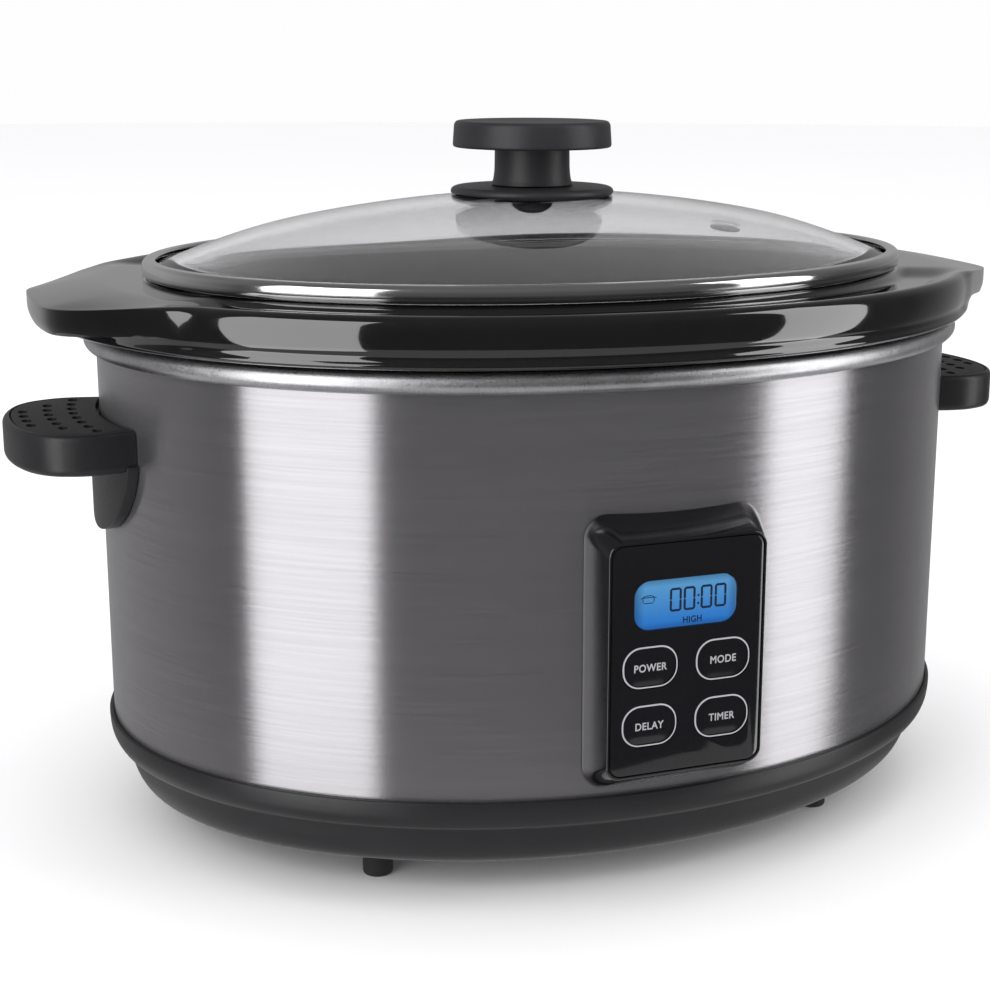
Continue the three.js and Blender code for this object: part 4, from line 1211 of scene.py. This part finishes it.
def word(name, text, height, x, z, front, squeeze=1.0, weight=0.028):
    """A flat word facing the front, in millimetres."""
    drawn = bpy.data.curves.new(name, "FONT")
    drawn.body = text
    drawn.size = height / 0.69
    drawn.align_x = "CENTER"
    drawn.align_y = "CENTER"
    drawn.offset = weight * height
    drawn.space_character = 1.08
    drawn.extrude = 0.08
    holder = link(bpy.data.objects.new(name, drawn))
    bpy.context.view_layer.update()
    graph = bpy.context.evaluated_depsgraph_get()
    mesh = bpy.data.meshes.new_from_object(holder.evaluated_get(graph))
    bpy.data.objects.remove(holder)
    made = link(bpy.data.objects.new(name, mesh))
    low = min(v.co.y for v in mesh.vertices)
    high = max(v.co.y for v in mesh.vertices)
    left = min(v.co.x for v in mesh.vertices)
    right = max(v.co.x for v in mesh.vertices)
    mesh.transform(Matrix.Translation((-(left + right) / 2, -(low + high) / 2, 0)))
    mesh.transform(Matrix.Diagonal((squeeze * MM, MM, MM, 1)))
    mesh.transform(Matrix.Rotation(math.pi / 2, 4, "X"))
    return tidy(shifted(made, x, front + 0.08, z))


def make_keys(sizes, colours):
    outline_wide = sizes.key_outline / MM
    flange = FACE + 3.6
    for name, column, row in KEYS:
        x, z = key_spot(column, row)
        steps = [
            (1.0, flange + 1), (1.0, flange), (0.0, flange), (0.0, FACE + 0.2), (-0.06, FACE + 0.06),
            (-0.16, FACE), (-0.06 - outline_wide, FACE), (-0.14 - outline_wide, FACE + 0.42),
            (-1.3, FACE + 0.34), (-2.2, FACE + 0.24), (-3.2, FACE + 0.14), (-4.3, FACE + 0.06),
            (-5.6, FACE + 0.02),
        ]
        stem = rounded(4, 4, 1.999)
        rings = [upright(stem, FACE + 6.1, x, z), upright(stem, flange + 1, x, z)]
        for grow, y in steps:
            shape = rounded(
                KEY["width"] + 2 * grow, KEY["height"] + 2 * grow, max(0.3, KEY["corner"] + grow)
            )
            rings.append(upright(shape, y, x, z))
        made = loft(f"key_{name}", rings, sharp=24.0)
        made.data.materials.append(finish("gloss_black", colours))
        made.data.materials.append(finish("key_outline", colours))
        silver_faces(made, x, z, outline_wide)
        settle(made, f"{name}_key", "gloss_black", colours, [f"key_{name}"])
        text = name.upper()
        label = word(f"label_{name}", text, 2.3, x + 0.1, z - 0.1, FACE - 0.01, squeeze=0.9)
        label.data.materials.append(finish("lettering", colours))
        settle(label, f"{name}_key", "lettering", colours)


def silver_faces(obj, x, z, wide):
    """Marks the flat band along a key's edge for its second finish."""
    half_w, half_h, corner = KEY["width"] / 2, KEY["height"] / 2, KEY["corner"]
    for face in obj.data.polygons:
        at = face.center / MM
        dx = max(0.0, abs(at.x - x) - (half_w - corner))
        dz = max(0.0, abs(at.z - z) - (half_h - corner))
        depth = corner - math.hypot(dx, dz)
        if at.y < FACE + 0.25 and depth < wide - 0.02:
            face.material_index = 1


# ---------------------------------------------------------------- crock and lid


def lug_x(y, scale):
    """Outline of a lug: a straight run off the lip, rounded into a blunt tip."""
    run = 133.5 + 0.857 * (73.6 - abs(y) / scale)
    tip = 172.5 + 1.2 - 0.0015 * y * y
    return (run + tip) / 2 - math.hypot((run - tip) / 2, 1.8)


def crock_place(x, y, r, z, joins):
    top = CROCK_HIGH.z
    low = top - 16
    wide = x * (1 + crock_out(r, z) / r)
    near = 1 - abs(y) / (73.6 / 130 * r)
    if near <= 0:
        return wide, y, z
    tip = math.copysign(lug_x(y, r / 130), x)
    if r > LID_DEPTH and z > top - 4:
        z = mix(z, top - 0.4, eased(near * 4))
    above = eased((z - low - 5) / 2)
    sink = joins * eased(near * 1.6) * mix(-1.5, 4, above)
    return mix(wide, tip, joins * eased(near * 7)), y, z - sink


def crock_profile():
    foot = CROCK_LOW.z
    top = CROCK_HIGH.z
    low = top - 16
    lip = HALF_DEPTH + 5

    def outer(z):
        return liner_r(z) - 2.3

    def inner(z):
        return liner_r(z) - 7.7

    return [
        (0, foot + 1.2, 0, 0), (outer(60) - 17, foot + 1.2, 0.6, 0),
        (outer(60) - 15, foot, 0.6, 0), (outer(60) - 10, foot, 4, 0),
        (outer(60) - 3.5, foot + 4.5, 6, 0), (outer(62), 62, 8, 0),
        (outer(LINER_TOP), LINER_TOP, 6, 0), (LINER_TOP_R + 1.5, LINER_TOP + 7, 4, 0),
        (HALF_DEPTH - 5, low - 0.2, 3, 0), (HALF_DEPTH + 4, low - 0.2, 2, 0),
        (HALF_DEPTH + 5.4, low + 1.2, 0.8, 0.3), (lip - 1.0, low + 3.4, 2, 0.68),
        (lip, low + 5.8, 2, 0.88), (lip + 0.4, low + 10, 3, 1), (lip - 0.1, top - 2, 1.2, 1),
        (lip - 1.3, top - 0.5, 1.0, 0.94), (lip - 3, top, 1.0, 0.88), (lip - 5.4, top - 0.6, 1.6, 0.4),
        (lip - 9, top - 2.6, 3, 0), (LID_DEPTH + 3, top - 3, 2, 0),
        (LID_DEPTH - 0.2, top - 0.9, 0.6, 0), (LID_DEPTH - 1.2, top - 0.2, 0.5, 0),
        (inner(LINER_TOP) + 0.4, top - 0.2, 1.0, 0), (inner(LINER_TOP) - 0.5, top - 1.6, 1.2, 0),
        (inner(LINER_TOP), LINER_TOP, 10, 0), (inner(66), 66, 8, 0),
        (inner(66) - 3.4, foot + 9.4, 6, 0), (inner(66) - 12, foot + 6, 8, 0), (0, foot + 6, 0, 0),
    ]


def make_crock(colours):
    made = turn("crock", crock_profile(), place=crock_place, around=288, steps=5)
    settle(made, "crock", "black_glaze", colours, ["crock"])


VENT_SPOT = (92.0, 30.0)


def vent_place():
    """Where the vent sits in the glass, and how far it tilts with the dome."""
    x, y = VENT_SPOT
    lift = 0.5
    dx = dome_z(lid_radius(x + lift, y)) - dome_z(lid_radius(x - lift, y))
    dy = dome_z(lid_radius(x, y + lift)) - dome_z(lid_radius(x, y - lift))
    z = dome_z(lid_radius(x, y)) - GLASS_THICK / 2
    tilt = Matrix.Rotation(math.atan(dy), 4, "X") @ Matrix.Rotation(-math.atan(dx), 4, "Y")
    return Matrix.Translation((x * MM, y * MM, z * MM)) @ tilt


def make_glass(colours):
    edge = LID_DEPTH - 1.2
    seat = RIM_LOW.z + 1.2
    high = RIM_HIGH.z - 1.2
    upper = [(3.3, dome_z(3.3), 0.2)]
    upper += [(r, dome_z(r), 0) for r in range(6, 96, 3)]
    lower = [(r - 0.3, dome_z(r) - GLASS_THICK, 0) for r in range(93, 5, -3)]
    corners = [
        *upper, (edge - 4.6, dome_z(96.3), 1.5), (edge - 1.2, high, 0.8), (edge, high - 1, 0.6),
        (edge, seat, 0.4), (edge - 4.4, seat, 0.4), *lower, (3.3, APEX - GLASS_THICK, 0.2),
    ]
    made = turn("lid_glass", corners, lid_out, sharp=50.0)
    bore = moved(rod("bore", 4.3, -12, 12), vent_place())
    carve(made, bore, sharp=50.0)
    settle(made, "lid", "clear_glass", colours, ["lid_glass"])


def make_rim(colours):
    r, low, high = LID_DEPTH, RIM_LOW.z, RIM_HIGH.z
    tin = 0.9
    corners = [
        (r - 0.8, low, 0.3), (r, low + 0.9, 0.8), (r, high - 1.5, 1.0), (r - 1.2, high, 0.9),
        (r - 4.4, high, 0.5), (r - 5, high - tin, 0.3), (r - 2, high - tin, 0.3),
        (r - tin, high - 1.8, 0.4), (r - tin, low + tin, 0.2), (r - 5, low + tin, 0.2),
        (r - 5, low, 0.3),
    ]
    made = turn("lid_rim", corners, lid_out, around=288)
    settle(made, "lid", "polished_steel", colours, ["lid_rim"])


def make_vent(colours):
    half = GLASS_THICK / 2 + 0.9
    corners = [
        (1.6, -half - 0.9, 0.3), (5.6, -half - 0.9, 0.3), (6, -half, 0.2), (4, -half, 0.1),
        (4, half, 0.1), (6, half, 0.2), (5.7, half + 0.5, 0.4), (4.8, half + 0.9, 0.5),
        (1.6, half + 0.9, 0.4),
    ]
    made = moved(turn("vent_grommet", corners, around=64), vent_place())
    settle(made, "lid", "zinc_steel", colours, ["vent_grommet"])


def make_knob(colours):
    top = KNOB_HIGH.z
    disc = KNOB_HIGH.x
    under = top - 9.1
    low = KNOB_LOW.z
    bore = 3.3
    corners = [
        (bore, low, 0.2), (14.4, low, 0.3), (13.6, low + 1.8, 1.6), (13.2, low + 5, 2),
        (13.1, under - 0.6, 0.4), (13.7, under, 0.5), (disc - 0.5, under, 0.5),
        (disc, under + 0.7, 0.5), (disc - 0.5, top - 1.1, 0.9), (disc - 1.5, top, 0.9),
        (disc - 4.5, top - 0.25, 2.5), (0, top - 1.4, 0), (0, under + 4, 0), (bore, under + 4, 0.2),
    ]
    made = turn("knob", corners, around=160)
    settle(made, "lid", "knob_plastic", colours, ["knob"])


def saucer_place(x, y, r, z, follows):
    if follows > 0:
        z = max(z, dome_z(lid_radius(x, y)) + GAP)
    return x, y, z


def make_knob_base(colours):
    flange = SAUCER_HIGH.x
    top = SAUCER_HIGH.z
    low = SAUCER_LOW.z
    under = [(r, low, 0, 1) for r in (3.3, 7, 11, 15, 19, 23, 26)]
    corners = [
        *under, (flange - 1.2, low, 0.5, 1), (flange, low + 1.5, 0.7, 1),
        (flange - 0.3, top - 1.0, 0.8, 0), (flange - 1.7, top - 0.2, 0.9, 0), (3.3, top, 0.2, 0),
    ]
    made = turn("knob_base", corners, place=saucer_place, around=160)
    settle(made, "lid", "knob_plastic", colours, ["knob_base"])
    seat = APEX - GLASS_THICK - GAP
    corners = [
        (3.3, seat - 1.6, 0.2), (13.4, seat - 1.6, 0.4), (13.4, seat - 0.8, 0.3),
        (3.3, seat - 0.2, 0.2),
    ]
    washer = turn("knob_washer", corners, around=96)
    settle(washer, "lid", "black_rubber", colours, ["knob_washer"])
    head = seat - 1.6 - GAP
    top = KNOB_HIGH.z - 7.1
    corners = [
        (0, head - 3.6, 0), (4, head - 3.1, 2), (6.6, head - 1.5, 1.5), (7.5, head, 0.5),
        (3, head, 0.1), (3, top, 0.4), (0, top, 0),
    ]
    screw = turn("knob_screw", corners, around=72)
    carve(screw, *recess(head - 3.6, 3.0))
    settle(screw, "lid", "zinc_steel", colours, ["knob_screw"])


# ---------------------------------------------------------------- inner works

INNER = {
    "mica": ("heater_band",),
    "zinc_steel": (
        "heater_clamp", "clamp_bolt", "thermal_fuse", "board_screw_low", "board_screw_high",
        "left_handle_screw_front", "left_handle_screw_back", "right_handle_screw_front",
        "right_handle_screw_back", "tie_post_front_left", "tie_post_front_right",
        "tie_post_back_left", "tie_post_back_right", "tact_switch_power", "tact_switch_mode",
        "tact_switch_delay", "tact_switch_timer",
    ),
    "fibre_wool": ("insulation_blanket",),
    "thin_aluminium": ("heat_shield",),
    "circuit_board": ("power_board", "control_board"),
    "relay_case": ("relay",),
    "transformer_core": ("transformer",),
    "pale_plastic": ("terminal_block", "ribbon_cable"),
    "black_rubber": ("buzzer",),
    "lamp_box": ("lcd_backlight",),
}


def coat_inner_works(colours):
    for slot, names in INNER.items():
        for name in names:
            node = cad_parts[name]
            if not node.material_slots:
                node.data.materials.append(None)
            for place in node.material_slots:
                place.material = finish(slot, colours)


# ---------------------------------------------------------------- stage


# name, centre, width, height, radiance, seen in reflections (metres)
SOFTBOXES = (
    ("left_light", (-1.44, -0.80, 0.25), 1.08, 2.7, 2.6, True),
    ("right_light", (1.40, -0.91, 0.25), 0.67, 2.7, 2.6, True),
    ("top_light", (0.0, -0.2, 2.3), 2.6, 2.6, 0.5, False),
)
LIGHT_AIM = Vector((0, 0, 0.1))
CAMERA_PLACE = Vector((-0.23892, -0.61687, 0.26435))
CAMERA_AIM = Vector((0, 0, 0.1052))
CAMERA_ROLL = 0.0038
CAMERA_LENS = 67.7
CAMERA_SHIFT = (-0.0362, -0.0020)
FLOOR_RADIUS = 6000
FLOOR_THICK = 12


def softbox(name, centre, width, height, radiance, glossy):
    """A rectangular light facing the object; radiance is how bright its face looks."""
    lamp = bpy.data.lights.new(name, "AREA")
    lamp.shape = "RECTANGLE"
    lamp.size = width
    lamp.size_y = height
    lamp.energy = math.pi * width * height * radiance
    obj = link(bpy.data.objects.new(name, lamp))
    obj.location = centre
    aim = LIGHT_AIM - Vector(centre)
    obj.rotation_euler = aim.to_track_quat("-Z", "Y").to_euler()
    obj.visible_camera = False
    obj.visible_transmission = False
    obj.visible_glossy = glossy
    return obj


def make_world():
    """White behind the object, and a dim studio with a pale back wall in reflections."""
    world = bpy.data.worlds.new("studio")
    bpy.context.scene.world = world
    world.use_nodes = True
    tree = world.node_tree
    tree.nodes.clear()
    add = node_maker(tree)
    look = add("ShaderNodeTexCoord").outputs["Generated"]
    parts = add("ShaderNodeSeparateXYZ", {0: look}).outputs
    behind = ranged(add, parts[1], 0.0, 0.26, (0.0, 0.8))
    flat = ranged(add, parts[2], 1.0, 0.25, (0.25, 0.7))
    back = add("ShaderNodeMath", {0: behind, 1: flat}, operation="MULTIPLY").outputs[0]
    up = ranged(add, parts[2], 0.08, 0.12, (0.0, 0.5))
    low = ranged(add, parts[2], 0.34, 0.0, (-0.51, -0.49))
    first = add("ShaderNodeMath", {0: back, 1: up}, operation="ADD").outputs[0]
    room = add("ShaderNodeMath", {0: first, 1: low}, operation="ADD").outputs[0]
    path = add("ShaderNodeLightPath").outputs
    seen = add(
        "ShaderNodeMath",
        {0: path["Is Camera Ray"], 1: path["Is Transmission Ray"]},
        operation="MAXIMUM",
    ).outputs[0]
    dim = add("ShaderNodeMix", {"Factor": path["Is Glossy Ray"]})
    dim.inputs["A"].default_value = 1.0
    tree.links.new(room, dim.inputs["B"])
    level = add("ShaderNodeMix", {"Factor": seen})
    tree.links.new(dim.outputs[0], level.inputs["A"])
    level.inputs["B"].default_value = 1.0
    shade = add("ShaderNodeBackground", {"Color": (1.0, 0.99, 1.0, 1)})
    tree.links.new(level.outputs[0], shade.inputs["Strength"])
    out = add("ShaderNodeOutputWorld")
    tree.links.new(shade.outputs[0], out.inputs["Surface"])


def floor_finish(colours):
    made, main, add, wire = shader("studio_floor")
    place = add("ShaderNodeTexCoord").outputs["Object"]
    cloud = grain_noise(add, place, (3, 3, 3), 2.0)
    tone = add("ShaderNodeMix", {"Factor": cloud}, data_type="RGBA")
    tone.inputs["A"].default_value = (*(c * 0.985 for c in colours.floor), 1)
    tone.inputs["B"].default_value = (*colours.floor, 1)
    wire(tone.outputs["Result"], main.inputs["Base Color"])
    main.inputs["Roughness"].default_value = 0.7
    main.inputs["Specular IOR Level"].default_value = 0.0
    return made


def make_stage(colours):
    r, low = FLOOR_RADIUS, -FLOOR_THICK
    corners = [(0, low, 0), (r, low, 0), (r, 0, 0), (0, 0, 0)]
    floor = turn("floor", corners, around=96)
    floor.data.materials.append(floor_finish(colours))
    floor.visible_glossy = False
    make_world()
    for row in SOFTBOXES:
        softbox(*row)
    bpy.context.scene.view_settings.view_transform = "Standard"
    make_camera()


def make_camera():
    lens = bpy.data.cameras.new("camera")
    lens.lens = CAMERA_LENS
    lens.sensor_width = 36
    lens.shift_x, lens.shift_y = CAMERA_SHIFT
    lens.clip_start = 0.01
    camera = link(bpy.data.objects.new("camera", lens))
    camera.location = CAMERA_PLACE
    aim = CAMERA_AIM - CAMERA_PLACE
    turned = aim.to_track_quat("-Z", "Y").to_matrix().to_4x4()
    spin = Matrix.Rotation(CAMERA_ROLL, 4, "Z")
    camera.rotation_mode = "QUATERNION"
    camera.rotation_quaternion = (turned @ spin).to_quaternion()
    bpy.context.scene.camera = camera


# ---------------------------------------------------------------- add-on


def colour_property(label, note, default):
    return bpy.props.FloatVectorProperty(
        name=label,
        description=note,
        subtype="COLOR",
        size=3,
        min=0.0,
        max=1.0,
        default=default,
    )


def tint_property(slot, label, note):
    return colour_property(label, note, FINISHES[slot]["tint"])


def length_property(label, note, default, least, most):
    return bpy.props.FloatProperty(
        name=label,
        description=note,
        default=default,
        min=least,
        max=most,
        unit="LENGTH",
        precision=5,
    )


class CookerSizes(bpy.types.PropertyGroup):
    """Sizes that a user may change."""

    bead_radius: length_property(
        "Bead radius", "Radius of the rolled bead under the crock's lip", 0.0033, 0.002, 0.004
    )
    key_outline: length_property(
        "Key outline", "Width of the silver line round each key", 0.00044, 0.0003, 0.001
    )
    grip_hole: length_property(
        "Grip hole", "Radius of the perforations in the grip pads", 0.0019, 0.001, 0.0024
    )
    vent_slots: bpy.props.IntProperty(
        name="Vent slots",
        description="Number of slots under the base",
        default=6,
        min=2,
        max=8,
    )


class CookerColours(bpy.types.PropertyGroup):
    """Colours that a user may change."""

    brushed_steel: tint_property("brushed_steel", "Shell steel", "Brushed steel of the shell")
    satin_bead: tint_property("satin_bead", "Bead metal", "Satin metal of the rolled bead")
    polished_steel: tint_property("polished_steel", "Lid band", "Polished steel round the glass")
    black_glaze: tint_property("black_glaze", "Crock glaze", "Glaze of the crock")
    knob_plastic: tint_property("knob_plastic", "Knob", "Matte plastic of the lid knob")
    black_moulding: tint_property("black_moulding", "Mouldings", "Plastic of base and handles")
    grip_plastic: tint_property("grip_plastic", "Grip pads", "Plastic of the perforated pads")
    gloss_black: tint_property("gloss_black", "Panel", "Gloss plastic of the panel and keys")
    lettering: tint_property("lettering", "Lettering", "Printed words on the keys")
    screen_high: colour_property(
        "Display top", "Colour of the lit display along its top", (0.095, 0.310, 0.570)
    )
    screen_low: colour_property(
        "Display bottom", "Colour of the lit display along its bottom", (0.008, 0.145, 0.520)
    )
    floor: colour_property(
        "Floor", "Colour of the studio floor", (0.96, 0.96, 0.965)
    )


class COOKER_OT_shell(bpy.types.Operator):
    """Makes the brushed steel shell with its panel opening"""

    bl_idname = "cooker.shell"
    bl_label = "Outer Shell"

    def execute(self, context):
        make_shell(context.scene.cooker_colours)
        return {"FINISHED"}


class COOKER_OT_liner(bpy.types.Operator):
    """Makes the inner pan, its rolled bead and the temperature sensor"""

    bl_idname = "cooker.liner"
    bl_label = "Liner and Bead"

    def execute(self, context):
        make_liner(context.scene.cooker_sizes, context.scene.cooker_colours)
        return {"FINISHED"}


class COOKER_OT_base(bpy.types.Operator):
    """Makes the black base moulding with its slots and wells"""

    bl_idname = "cooker.base"
    bl_label = "Base Moulding"

    def execute(self, context):
        make_base(context.scene.cooker_sizes, context.scene.cooker_colours)
        return {"FINISHED"}


class COOKER_OT_feet(bpy.types.Operator):
    """Makes the four feet and the four base screws"""

    bl_idname = "cooker.feet"
    bl_label = "Feet and Base Screws"

    def execute(self, context):
        make_feet(context.scene.cooker_colours)
        return {"FINISHED"}


class COOKER_OT_gland(bpy.types.Operator):
    """Makes the cord gland at the back"""

    bl_idname = "cooker.gland"
    bl_label = "Cord Gland"

    def execute(self, context):
        make_gland(context.scene.cooker_colours)
        return {"FINISHED"}


class COOKER_OT_handles(bpy.types.Operator):
    """Makes both side handles and their perforated grip pads"""

    bl_idname = "cooker.handles"
    bl_label = "Handles"

    def execute(self, context):
        make_handles(context.scene.cooker_sizes, context.scene.cooker_colours)
        return {"FINISHED"}


class COOKER_OT_panel_frame(bpy.types.Operator):
    """Makes the panel bezel and its gloss window"""

    bl_idname = "cooker.panel_frame"
    bl_label = "Panel Bezel and Window"

    def execute(self, context):
        make_bezel(context.scene.cooker_colours)
        make_window(context.scene.cooker_colours)
        return {"FINISHED"}


class COOKER_OT_display(bpy.types.Operator):
    """Makes the lit display and its marks"""

    bl_idname = "cooker.display"
    bl_label = "Display"

    def execute(self, context):
        make_screen(context.scene.cooker_colours)
        return {"FINISHED"}


class COOKER_OT_push_keys(bpy.types.Operator):
    """Makes the four keys and their words"""

    bl_idname = "cooker.push_keys"
    bl_label = "Keys"

    def execute(self, context):
        make_keys(context.scene.cooker_sizes, context.scene.cooker_colours)
        return {"FINISHED"}


class COOKER_OT_crock(bpy.types.Operator):
    """Makes the glazed crock with its lugs"""

    bl_idname = "cooker.crock"
    bl_label = "Crock"

    def execute(self, context):
        make_crock(context.scene.cooker_colours)
        return {"FINISHED"}


class COOKER_OT_lid(bpy.types.Operator):
    """Makes the domed glass, its steel band and the steam vent"""

    bl_idname = "cooker.lid"
    bl_label = "Lid"

    def execute(self, context):
        colours = context.scene.cooker_colours
        make_glass(colours)
        make_rim(colours)
        make_vent(colours)
        return {"FINISHED"}


class COOKER_OT_knob(bpy.types.Operator):
    """Makes the knob, its flange, washer and screw"""

    bl_idname = "cooker.knob"
    bl_label = "Knob"

    def execute(self, context):
        make_knob(context.scene.cooker_colours)
        make_knob_base(context.scene.cooker_colours)
        return {"FINISHED"}


class COOKER_OT_inner_works(bpy.types.Operator):
    """Gives the heater, boards, switches and fixings their finishes"""

    bl_idname = "cooker.inner_works"
    bl_label = "Inner Works"

    def execute(self, context):
        coat_inner_works(context.scene.cooker_colours)
        return {"FINISHED"}


class COOKER_OT_stage(bpy.types.Operator):
    """Makes the floor, lights and camera"""

    bl_idname = "cooker.stage"
    bl_label = "Studio Stage"

    def execute(self, context):
        make_stage(context.scene.cooker_colours)
        return {"FINISHED"}


STEPS = (
    COOKER_OT_shell,
    COOKER_OT_liner,
    COOKER_OT_base,
    COOKER_OT_feet,
    COOKER_OT_gland,
    COOKER_OT_handles,
    COOKER_OT_panel_frame,
    COOKER_OT_display,
    COOKER_OT_push_keys,
    COOKER_OT_crock,
    COOKER_OT_lid,
    COOKER_OT_knob,
    COOKER_OT_inner_works,
    COOKER_OT_stage,
)


class COOKER_PT_panel(bpy.types.Panel):
    """Lists the making steps, sizes and colours"""

    bl_idname = "COOKER_PT_panel"
    bl_label = "Slow Cooker"
    bl_space_type = "VIEW_3D"
    bl_region_type = "UI"
    bl_category = "Cooker"

    def draw(self, context):
        for group in (context.scene.cooker_sizes, context.scene.cooker_colours):
            part = self.layout.box()
            for name in group.bl_rna.properties.keys():
                if name not in ("rna_type", "name"):
                    part.prop(group, name)
        steps = self.layout.column(align=True)
        for step in STEPS:
            steps.operator(step.bl_idname)


CLASSES = (CookerSizes, CookerColours, *STEPS, COOKER_PT_panel)


def register():
    for one in CLASSES:
        bpy.utils.register_class(one)
    bpy.types.Scene.cooker_sizes = bpy.props.PointerProperty(type=CookerSizes)
    bpy.types.Scene.cooker_colours = bpy.props.PointerProperty(type=CookerColours)


def unregister():
    del bpy.types.Scene.cooker_colours
    del bpy.types.Scene.cooker_sizes
    for one in reversed(CLASSES):
        bpy.utils.unregister_class(one)


def main():
    register()
    for step in STEPS:
        getattr(bpy.ops.cooker, step.bl_idname.split(".")[1])()
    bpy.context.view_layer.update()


if __name__ == "__main__":
    main()
